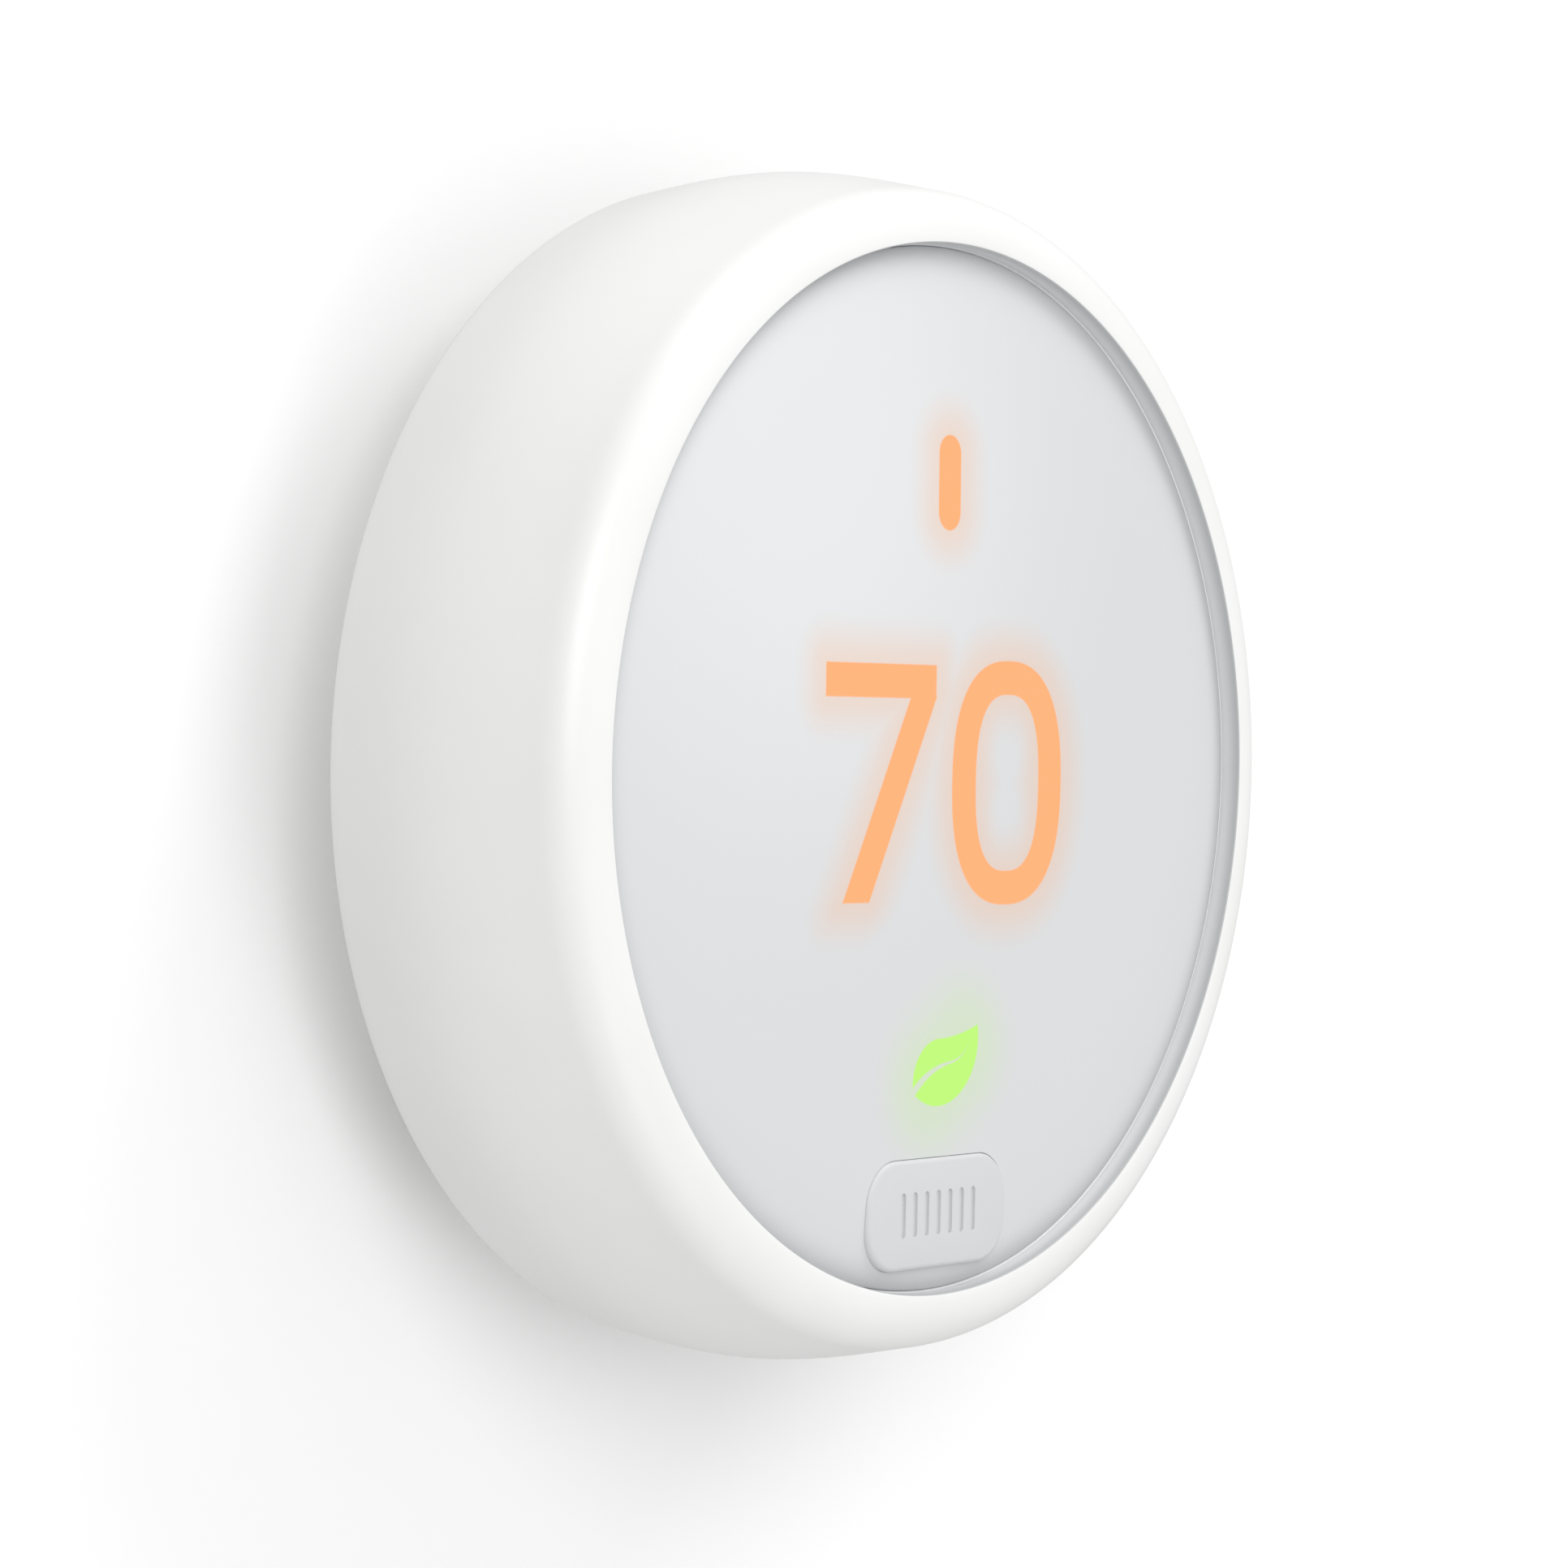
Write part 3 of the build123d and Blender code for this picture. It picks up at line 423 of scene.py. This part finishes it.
def make_finishes():
    """One finish for each of the record's material slots."""
    return {
        "ring_white": ring_paint(),
        "lens_frost": lens_face(),
        "badge_grey": moulded("badge_grey", (0.635, 0.645, 0.652), 0.5, 12.0, 0.004, 0.02),
        "shell_white": moulded("shell_white", (0.78, 0.78, 0.77), 0.5, 5.0, 0.02),
        "inner_plastic": moulded("inner_plastic", (0.022, 0.022, 0.025), 0.5, 6.0, 0.02, 0.2),
        "carrier_plastic": moulded("carrier_plastic", (0.48, 0.49, 0.50), 0.5, 5.0, 0.02, 0.05),
        "glide_plastic": moulded("glide_plastic", (0.76, 0.74, 0.66), 0.3, 8.0, 0.005),
        "circuit_board": circuit_board("circuit_board", (0.010, 0.085, 0.035)),
        "chip_black": moulded("chip_black", (0.012, 0.012, 0.013), 0.55, 10.0, 0.008, 0.3),
        "tin_plate": metal("tin_plate", (0.62, 0.63, 0.64), 0.35, (0.2, 1, 3)),
        "screw_steel": metal("screw_steel", (0.56, 0.56, 0.57), 0.28, (1, 4, 1)),
        "spring_steel": metal("spring_steel", (0.50, 0.50, 0.52), 0.25),
        "contact_gold": metal("contact_gold", (0.86, 0.60, 0.22), 0.22),
        "tab_grey": moulded("tab_grey", (0.33, 0.36, 0.39), 0.42, 7.0, 0.01, 0.08),
        "block_white": moulded("block_white", (0.68, 0.68, 0.66), 0.45, 6.0, 0.015, 0.05),
        "magnet_dark": moulded("magnet_dark", (0.03, 0.03, 0.03), 0.6, 3.0, 0.02, 0.3),
        "battery_foil": metal("battery_foil", (0.70, 0.71, 0.72), 0.38, (3, 1, 0.3), 0.01),
        "lead_sleeve": moulded("lead_sleeve", (0.42, 0.02, 0.02), 0.4, 5.0, 0.01),
        "flex_amber": moulded("flex_amber", (0.42, 0.17, 0.02), 0.25, 4.0, 0.005, 0.15),
        "display_glass": moulded("display_glass", (0.02, 0.02, 0.024), 0.12, 3.0, 0.001, 0.1),
        "backlight_white": moulded("backlight_white", (0.8, 0.8, 0.78), 0.35, 8.0, 0.004),
        "vial_clear": glassy("vial_clear", (0.93, 0.97, 0.93), 0.22),
        "fluid_green": glassy("fluid_green", (0.55, 0.80, 0.06), 0.72),
        "sensor_dark": moulded("sensor_dark", (0.02, 0.015, 0.03), 0.15, 4.0, 0.002, 0.1),
    }


finishes = {}
slot_of = {row["node"]: row["material_slot"] for row in frame["record"]["subparts"]}


# ==== mesh helpers ====================================================================
SHARP_ANGLE = 35.0
FLAT_ANGLE = math.radians(1)
WELD = 1e-7


def curve_points(start, handle_a, handle_b, end, count):
    """Points of one Bezier stretch, without its last point."""
    corners = [Vector((*p, 0.0)) for p in (start, handle_a, handle_b, end)]
    return [(p.x, p.y) for p in interpolate_bezier(*corners, count + 1)][:-1]


def turned(bm, outline, steps):
    """Spin a closed outline of (radius, depth) points, in millimetres, about the Y axis."""
    ring = [bm.verts.new((r * MM, -d * MM, 0.0)) for r, d in outline]
    edges = [bm.edges.new((a, b)) for a, b in zip(ring, ring[1:] + ring[:1])]
    bmesh.ops.spin(bm, geom=ring + edges, cent=(0, 0, 0), axis=(0, 1, 0), angle=2 * math.pi,
                   steps=steps, use_merge=True, use_duplicate=False)
    bmesh.ops.remove_doubles(bm, verts=bm.verts, dist=WELD)
    bmesh.ops.recalc_face_normals(bm, faces=bm.faces)


def rounded_outline(width, height, radius, steps=8):
    """Corner arcs of a rounded rectangle about the origin, as (x, z) points."""
    points = []
    for quarter, (sx, sz) in enumerate(((1, 1), (-1, 1), (-1, -1), (1, -1))):
        cx, cz = sx * (width / 2 - radius), sz * (height / 2 - radius)
        for i in range(steps + 1):
            a = math.pi / 2 * (quarter + i / steps)
            points.append((cx + radius * math.cos(a), cz + radius * math.sin(a)))
    return points


def prism(bm, outline, rear, front, centre=(0, 0)):
    """A solid with that (x, z) outline, from one depth to another. Returns its faces."""
    verts = [bm.verts.new(((x + centre[0]) * MM, -rear * MM, (z + centre[1]) * MM))
             for x, z in outline]
    face = bm.faces.new(verts)
    made = bmesh.ops.extrude_face_region(bm, geom=[face], use_keep_orig=True)
    moved = [v for v in made["geom"] if isinstance(v, bmesh.types.BMVert)]
    bmesh.ops.translate(bm, verts=moved, vec=(0, -(front - rear) * MM, 0))
    bmesh.ops.recalc_face_normals(bm, faces=bm.faces)
    return [f for f in made["geom"] if isinstance(f, bmesh.types.BMFace)]


def brick(bm, low, high):
    """A box between two corners given as (x, depth, z)."""
    made = bmesh.ops.create_cube(bm, size=1)["verts"]
    size = [abs(b - a) * MM for a, b in zip(low, high)]
    middle = [(a + b) / 2 * MM for a, b in zip(low, high)]
    bmesh.ops.scale(bm, verts=made, vec=size)
    bmesh.ops.translate(bm, verts=made, vec=(middle[0], -middle[1], middle[2]))


def smooth_but_sharp(bm, angle):
    """Smooth shading everywhere, broken at edges that turn by more than angle degrees."""
    limit = math.radians(angle)
    for face in bm.faces:
        face.smooth = True
    for edge in bm.edges:
        edge.smooth = len(edge.link_faces) != 2 or edge.calc_face_angle(0.0) < limit


def round_front(bm, front, width, segments):
    """Round the edges that lie on the front face of a prism."""
    edges = [e for e in bm.edges if all(v.co.y < -(front - 0.01) * MM for v in e.verts)]
    bmesh.ops.bevel(bm, geom=edges, offset=width * MM, offset_type="OFFSET",
                    segments=segments, profile=0.5, affect="EDGES", material=-1)


def to_object(bm, name, smooth_angle=SHARP_ANGLE):
    """Finish a bmesh as an object at the origin, smooth except at its sharp edges."""
    mesh = bpy.data.meshes.new(name)
    smooth_but_sharp(bm, smooth_angle)
    bm.to_mesh(mesh)
    bm.free()
    obj = bpy.data.objects.new(name, mesh)
    bpy.context.scene.collection.objects.link(obj)
    return obj


def carve(obj, cutters):
    """Cut the cutter objects out of obj, and remove them."""
    for cutter in cutters:
        cut = obj.modifiers.new("cut", "BOOLEAN")
        cut.operation, cut.solver, cut.object = "DIFFERENCE", "EXACT", cutter
    graph = bpy.context.evaluated_depsgraph_get()
    mesh = bpy.data.meshes.new_from_object(obj.evaluated_get(graph))
    obj.modifiers.clear()
    obj.data = mesh
    for cutter in cutters:
        bpy.data.objects.remove(cutter)


def mark_sharp(obj):
    """Join what a cut left apart, and mark the sharp edges again."""
    bm = bmesh.new()
    bm.from_mesh(obj.data)
    bmesh.ops.remove_doubles(bm, verts=bm.verts, dist=WELD)
    smooth_but_sharp(bm, SHARP_ANGLE)
    bm.to_mesh(obj.data)
    bm.free()


def soften(obj, width_mm, segments=2, angle=30.0):
    """A live bevel on every sharp edge."""
    bevel = obj.modifiers.new("edge", "BEVEL")
    bevel.width, bevel.segments = width_mm * MM, segments
    bevel.limit_method, bevel.angle_limit = "ANGLE", math.radians(angle)
    bevel.use_clamp_overlap = True
    bevel.harden_normals = True


def softened(node, body, width_mm):
    """The node's own shape with its flat faces made whole and its sharp edges rounded."""
    source = nodes[node]
    mesh = source.data.copy()
    mesh.transform(source.matrix_world)
    if "custom_normal" in mesh.attributes:
        mesh.attributes.remove(mesh.attributes["custom_normal"])
    bm = bmesh.new()
    bm.from_mesh(mesh)
    bpy.data.meshes.remove(mesh)
    bmesh.ops.remove_doubles(bm, verts=bm.verts, dist=1e-6)
    bmesh.ops.dissolve_limit(bm, angle_limit=FLAT_ANGLE, verts=bm.verts, edges=bm.edges)
    bmesh.ops.recalc_face_normals(bm, faces=bm.faces)
    obj = to_object(bm, f"{node}_soft", 180)
    if width_mm:
        soften(obj, width_mm)
    fit_out(obj, node, body)
    return obj


def fit_out(obj, node, body):
    """Give a new piece its node's finish, its body, and the node's place in the view."""
    obj.data.materials.clear()
    obj.data.materials.append(finishes[slot_of[node]])
    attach(obj, body)
    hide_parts(node)


# ==== settings ========================================================================
class RingSettings(bpy.types.PropertyGroup):
    colour: FloatVectorProperty(
        name="Colour", description="Paint of the outer ring", subtype="COLOR", size=3,
        min=0, max=1, default=(0.86, 0.86, 0.855))
    roughness: FloatProperty(
        name="Roughness", description="How satin the paint is", default=0.36, min=0, max=1)
    steps: IntProperty(
        name="Steps", description="Facets around the ring", default=256, min=32, max=512)


class FaceSettings(bpy.types.PropertyGroup):
    colour: FloatVectorProperty(
        name="Colour", description="Frosted lens", subtype="COLOR", size=3, min=0, max=1,
        default=(0.665, 0.673, 0.682))
    digits: FloatVectorProperty(
        name="Digits", description="Light of the digits and the marker", subtype="COLOR",
        size=3, min=0, max=1, default=(1.0, 0.417, 0.16))
    leaf: FloatVectorProperty(
        name="Leaf", description="Light of the leaf", subtype="COLOR", size=3, min=0, max=1,
        default=(0.495, 0.92, 0.16))
    # strength of the painted shade at the lens's edge
    edge_shade: FloatProperty(
        name="Edge shade", description="How much the frosting darkens at its edge",
        default=0.26, min=0, max=1)
    glow: FloatProperty(
        name="Glow", description="Reach of the soft light around the picture, in mm",
        default=3.6, min=0.1, max=6)


class StageSettings(bpy.types.PropertyGroup):
    wall: FloatProperty(
        name="Wall size", description="Width of the wall behind", default=8.0, min=0.5,
        max=20, unit="LENGTH")
    floor: FloatProperty(
        name="Floor drop", description="How far below the centre the floor lies", default=0.9,
        min=0.1, max=5, unit="LENGTH")


# ==== the room ========================================================================
# soft discs: name, bearing and height in degrees, watts
LIGHTS = (("left_light", -40, 20, 4.93), ("low_light", 0, -35, 1.9),
          ("top_light", 0, 78, 1.6), ("right_light", 45, 50, 4.63))
LIGHT_SIZE, LIGHT_DISTANCE = 0.8, 1.2
LIGHT_AIM = (0, -0.015, 0)
SURROUND = 0.649
WALL_GAP = 0.0004
# the view: metres and degrees, and the lens in millimetres
VIEW_DISTANCE, VIEW_BEARING, VIEW_HEIGHT, VIEW_ROLL = 0.330, -50.76, 0.49, 1.0
VIEW_TARGET = (0, -0.00579, 0)
VIEW_LENS, VIEW_SENSOR, VIEW_SHIFT = 108.6, 36.0, (0.0487, -0.0131)


def direction(bearing, height):
    """The way out to a place at that bearing and height, in radians."""
    return Vector((math.sin(bearing) * math.cos(height), -math.cos(bearing) * math.cos(height),
                   math.sin(height)))


# ==== pieces ==========================================================================
class THERMOSTAT_OT_finishes(bpy.types.Operator):
    """Make every finish, and give each frame node the finish of its slot"""
    bl_idname = "thermostat.finishes"
    bl_label = "Finishes"

    def execute(self, context):
        finishes.update(make_finishes())
        for name, obj in nodes.items():
            obj.data.materials.clear()
            obj.data.materials.append(finishes[slot_of[name]])
        return {"FINISHED"}


class THERMOSTAT_OT_ring(bpy.types.Operator):
    """The outer ring: a turned shell whose side swells and whose lip rolls over to the rim"""
    bl_idname = "thermostat.ring"
    bl_label = "Outer ring"

    def execute(self, context):
        settings = context.scene.thermostat_ring
        widest, rear_edge, rear_round, lip_round = 14.4, 39.95, 0.25, 0.15
        bore, lip_bore, step_radius = 38.65, 36.95, LENS_RADIUS + 0.03
        # (radius, depth), from the rear edge over the side to the lip
        rear_start = (rear_edge, RING_REAR + rear_round)
        waist, shoulder = (RING_RADIUS, widest), (38.95, 24.5)
        lip_front = (RIM_RADIUS + lip_round, RING_FRONT)
        lip_side = (RIM_RADIUS, RING_FRONT - lip_round)
        outline = curve_points(rear_start, (40.2, 10.0), (RING_RADIUS, 12.2), waist, 10)
        outline += curve_points(waist, (RING_RADIUS, 18.2), (39.35, 22.2), shoulder, 12)
        outline += curve_points(shoulder, (38.55, 26.3), (37.2, RING_FRONT), lip_front, 14)
        outline += curve_points(lip_front, (RIM_RADIUS + 0.06, RING_FRONT),
                                (RIM_RADIUS, RING_FRONT - 0.06), lip_side, 4)
        # a low step under the lens's edge closes the view into the gap
        outline += [lip_side, (RIM_RADIUS, 25.5), (step_radius, 25.4), (step_radius, 24.0),
                    (lip_bore, 24.0), (lip_bore, 20.5), (bore, 17.5), (bore, RING_REAR)]
        outline += curve_points((rear_edge - rear_round, RING_REAR),
                                (rear_edge - 0.1, RING_REAR), (rear_edge, RING_REAR + 0.1),
                                rear_start, 3)
        bm = bmesh.new()
        turned(bm, outline, settings.steps)
        obj = to_object(bm, "outer_ring_shell")
        fit_out(obj, "outer_ring", "ring")
        return {"FINISHED"}


class THERMOSTAT_OT_face(bpy.types.Operator):
    """The frosted lens, with a window for the badge"""
    bl_idname = "thermostat.face"
    bl_label = "Face lens"

    def execute(self, context):
        steps = context.scene.thermostat_ring.steps
        edge, edge_round, lip = 25.65, 0.2, 0.8
        seat = -lens_high.y + lip
        skirt_outer, skirt_inner = 33.2, 32.4
        # (radius, depth), from the middle of the front over the edge to the skirt behind
        middle, bend = (0.0, LENS_CENTRE), (27, LENS_CENTRE - 0.15)
        corner = (LENS_RADIUS - edge_round, edge)
        side = (LENS_RADIUS, edge - edge_round)
        outline = curve_points(middle, (12, LENS_CENTRE), (20, LENS_CENTRE - 0.05), bend, 10)
        outline += curve_points(bend, (30.5, LENS_CENTRE - 0.2), (33.4, edge + 0.38), corner, 10)
        outline += curve_points(corner, (corner[0] + 0.12, edge - 0.05),
                                (LENS_RADIUS, edge - 0.1), side, 4)
        outline += [side, (LENS_RADIUS, seat), (skirt_outer, seat), (skirt_outer, seat - lip),
                    (skirt_inner, seat - lip), (skirt_inner, LENS_CENTRE - 1.8),
                    (0.0, LENS_CENTRE - 1.2)]
        bm = bmesh.new()
        turned(bm, outline, steps)
        obj = to_object(bm, "face_lens_cover")
        cutter = bmesh.new()
        gap = 0.02
        window = rounded_outline(BADGE_WIDTH + 2 * gap, BADGE_HEIGHT + 2 * gap,
                                 BADGE_CORNER + gap, 12)
        prism(cutter, window, seat - 2, LENS_CENTRE + 2, (0, BADGE_Z))
        carve(obj, [to_object(cutter, "window_cutter")])
        mark_sharp(obj)
        fit_out(obj, "face_lens", "front")
        return {"FINISHED"}


class THERMOSTAT_OT_badge(bpy.types.Operator):
    """The raised badge over the sensors, with a row of shallow upright grooves"""
    bl_idname = "thermostat.badge"
    bl_label = "Sensor badge"

    def execute(self, context):
        bm = bmesh.new()
        prism(bm, rounded_outline(BADGE_WIDTH, BADGE_HEIGHT, BADGE_CORNER, 12), BADGE_REAR,
              BADGE_FRONT, (0, BADGE_Z))
        round_front(bm, BADGE_FRONT, 0.35, 4)
        obj = to_object(bm, "sensor_badge_cover")
        grooves, pitch, depth = 7, 1.3, 0.18
        cutter = bmesh.new()
        for i in range(grooves):
            prism(cutter, rounded_outline(0.5, 3.0, 0.249, 6), BADGE_FRONT - depth,
                  BADGE_FRONT + 1, (pitch * (i - grooves // 2), BADGE_Z))
        carve(obj, [to_object(cutter, "groove_cutter")])
        mark_sharp(obj)
        fit_out(obj, "sensor_badge", "front")
        return {"FINISHED"}


class THERMOSTAT_OT_wall_base(bpy.types.Operator):
    """The base plate that stays on the wall, with its slots, wire hole and pockets"""
    bl_idname = "thermostat.wall_base"
    bl_label = "Wall base"

    def execute(self, context):
        for node, width in (("base_plate", 0.22), ("base_circuit_board", 0.08),
                            ("latch_clips", 0.22), ("base_socket", 0.22)):
            softened(node, "base", width)
        return {"FINISHED"}


class THERMOSTAT_OT_terminals(bpy.types.Operator):
    """The two terminal blocks, with their wire openings and windows, and the six tabs"""
    bl_idname = "thermostat.terminals"
    bl_label = "Terminals"

    def execute(self, context):
        tabs = range(1, 7)
        for hand, side in (("left", -1), ("right", 1)):
            node = f"terminal_block_{hand}"
            low, high = (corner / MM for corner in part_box(node))
            width, height, middle = high.x - low.x, high.z - low.z, (low.x + high.x) / 2
            rear, front = -high.y, -low.y
            bm = bmesh.new()
            prism(bm, rounded_outline(width, height, 1.0), rear, front, (middle, 0))
            round_front(bm, front, 0.5, 3)
            obj = to_object(bm, f"{node}_body")
            cutter = bmesh.new()
            for i in tabs:
                tab_low, tab_high = (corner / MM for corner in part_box(f"terminal_tab_{i}"))
                x, z = (tab_low.x + tab_high.x) / 2, (tab_low.z + tab_high.z) / 2
                if x * side < 0:
                    continue
                # the tab's hollow, the window it shows in, and the opening for the wire
                inner = min(low.x * side, high.x * side)
                brick(cutter, (side * (inner + 1.2), rear - 1, z - 2.4),
                      (side * (inner + 12.0), front - 1.1, z + 2.4))
                brick(cutter, (side * (inner + 7.3), front - 1.3, z - 1.9),
                      (side * (inner + 11.7), front + 1, z + 1.9))
                brick(cutter, (side * (inner - 1), front - 4.0, z - 1.2),
                      (side * (inner + 1.4), front - 1.8, z + 1.2))
            carve(obj, [to_object(cutter, "openings_cutter")])
            mark_sharp(obj)
            fit_out(obj, node, "base")
        for i in tabs:
            softened(f"terminal_tab_{i}", f"tab_{i}", 0.18)
        return {"FINISHED"}


class THERMOSTAT_OT_head(bpy.types.Operator):
    """The head's rear: its cover, plug and the parts that show when it is off the base"""
    bl_idname = "thermostat.head"
    bl_label = "Head"

    def execute(self, context):
        for node, width in (("back_cover", 0.2), ("base_plug", 0.15), ("cover_screws", 0.12),
                            ("service_port", 0.1)):
            softened(node, "head", width)
        # the coil springs between the chassis and the carrier, given a mesh of their own
        coils = softened("press_springs", "head", 0)
        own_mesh(coils)
        return {"FINISHED"}


class THERMOSTAT_OT_stage(bpy.types.Operator):
    """The wall, the floor, soft studio light and the camera"""
    bl_idname = "thermostat.stage"
    bl_label = "Stage"

    def execute(self, context):
        settings = context.scene.thermostat_stage
        scene = context.scene
        scene.view_settings.view_transform = "Standard"
        scene.cycles.max_bounces = 8
        # the wall: seen from the room only, and no hindrance to light from behind
        wall = self.plane("stage_wall", settings.wall, settings.wall)
        wall.data.transform(Matrix.Rotation(math.pi / 2, 4, "X"))
        wall.data.transform(Matrix.Translation((0, WALL_GAP, 0)))
        shade = Shader("stage_wall")
        shade.set(Base_Color=(0.97, 0.97, 0.97), Roughness=1.0, Specular_IOR_Level=0.0)
        see_through = shade.add("ShaderNodeBsdfTransparent")
        behind = shade.add("ShaderNodeNewGeometry").outputs["Backfacing"]
        choice = shade.add("ShaderNodeMixShader", None,
                           {0: behind, 1: shade.surface.outputs[0], 2: see_through.outputs[0]})
        shade.links.new(choice.outputs[0], shade.nodes["Material Output"].inputs["Surface"])
        wall.data.materials.append(shade.material)
        wall.visible_diffuse = wall.visible_glossy = wall.visible_shadow = False
        wall.visible_transmission = False
        # the floor
        floor = self.plane("stage_floor", settings.wall, settings.wall)
        floor.data.transform(Matrix.Translation((0, 0, -settings.floor)))
        pale = Shader("stage_floor")
        grain = pale.noise(0.02, 3.0)
        pale.set(Base_Color=pale.blend(grain, (0.86, 0.86, 0.86), (0.83, 0.83, 0.83)),
                 Roughness=0.8)
        floor.data.materials.append(pale.material)
        self.lights(context)
        self.camera(context)
        return {"FINISHED"}

    def plane(self, name, width, depth):
        bm = bmesh.new()
        bmesh.ops.create_grid(bm, x_segments=1, y_segments=1, size=0.5)
        bmesh.ops.scale(bm, verts=bm.verts, vec=(width, depth, 1))
        return to_object(bm, name)

    def lights(self, context):
        for name, bearing, height, power in LIGHTS:
            light = bpy.data.lights.new(name, "AREA")
            light.shape, light.size, light.energy = "DISK", LIGHT_SIZE, power
            obj = bpy.data.objects.new(name, light)
            out = direction(math.radians(bearing), math.radians(height))
            obj.location = out * LIGHT_DISTANCE
            aim = Vector(LIGHT_AIM) - obj.location
            obj.rotation_euler = aim.to_track_quat("-Z", "Y").to_euler()
            context.scene.collection.objects.link(obj)
        world = bpy.data.worlds.new("studio")
        world.use_nodes = True
        tree = world.node_tree
        seen = tree.nodes.new("ShaderNodeLightPath").outputs["Is Camera Ray"]
        strength = tree.nodes.new("ShaderNodeMapRange")
        strength.inputs["To Min"].default_value = SURROUND
        strength.inputs["To Max"].default_value = 1.0
        tree.links.new(seen, strength.inputs["Value"])
        back = tree.nodes["Background"]
        back.inputs["Color"].default_value = (1, 1, 1, 1)
        tree.links.new(strength.outputs["Result"], back.inputs["Strength"])
        context.scene.world = world

    def camera(self, context):
        bearing = math.radians(VIEW_BEARING)
        back = direction(bearing, math.radians(VIEW_HEIGHT))
        right = Vector((math.cos(bearing), math.sin(bearing), 0))
        up = back.cross(right)
        turn = Matrix.Rotation(math.radians(-VIEW_ROLL), 3, -back)
        right, up = turn @ right, turn @ up
        basis = Matrix((right, up, back)).transposed().to_4x4()
        lens = bpy.data.cameras.new("camera")
        lens.sensor_width, lens.lens = VIEW_SENSOR, VIEW_LENS
        lens.shift_x, lens.shift_y = VIEW_SHIFT
        lens.clip_start = 0.01
        obj = bpy.data.objects.new("camera", lens)
        eye = Vector(VIEW_TARGET) + back * VIEW_DISTANCE
        obj.matrix_world = Matrix.Translation(eye) @ basis
        context.scene.collection.objects.link(obj)
        context.scene.camera = obj


class THERMOSTAT_PT_panel(bpy.types.Panel):
    """Sizes, colours and the pieces of the thermostat"""
    bl_idname = "THERMOSTAT_PT_panel"
    bl_label = "Wall thermostat"
    bl_space_type = "VIEW_3D"
    bl_region_type = "UI"
    bl_category = "Thermostat"

    def draw(self, context):
        for group in (context.scene.thermostat_ring, context.scene.thermostat_face,
                      context.scene.thermostat_stage):
            for name in group.__annotations__:
                self.layout.prop(group, name)
        for operator in OPERATORS:
            self.layout.operator(operator.bl_idname)


SETTINGS = (("thermostat_ring", RingSettings), ("thermostat_face", FaceSettings),
            ("thermostat_stage", StageSettings))
OPERATORS = (THERMOSTAT_OT_finishes, THERMOSTAT_OT_ring, THERMOSTAT_OT_face,
             THERMOSTAT_OT_badge, THERMOSTAT_OT_wall_base, THERMOSTAT_OT_terminals,
             THERMOSTAT_OT_head, THERMOSTAT_OT_stage)


def register():
    for name, group in SETTINGS:
        bpy.utils.register_class(group)
        setattr(bpy.types.Scene, name, PointerProperty(type=group))
    for cls in (*OPERATORS, THERMOSTAT_PT_panel):
        bpy.utils.register_class(cls)


def unregister():
    for cls in (THERMOSTAT_PT_panel, *reversed(OPERATORS)):
        bpy.utils.unregister_class(cls)
    for name, group in reversed(SETTINGS):
        delattr(bpy.types.Scene, name)
        bpy.utils.unregister_class(group)


def main():
    register()
    for operator in OPERATORS:
        group, name = operator.bl_idname.split(".")
        getattr(getattr(bpy.ops, group), name)()


if __name__ == "__main__":
    main()
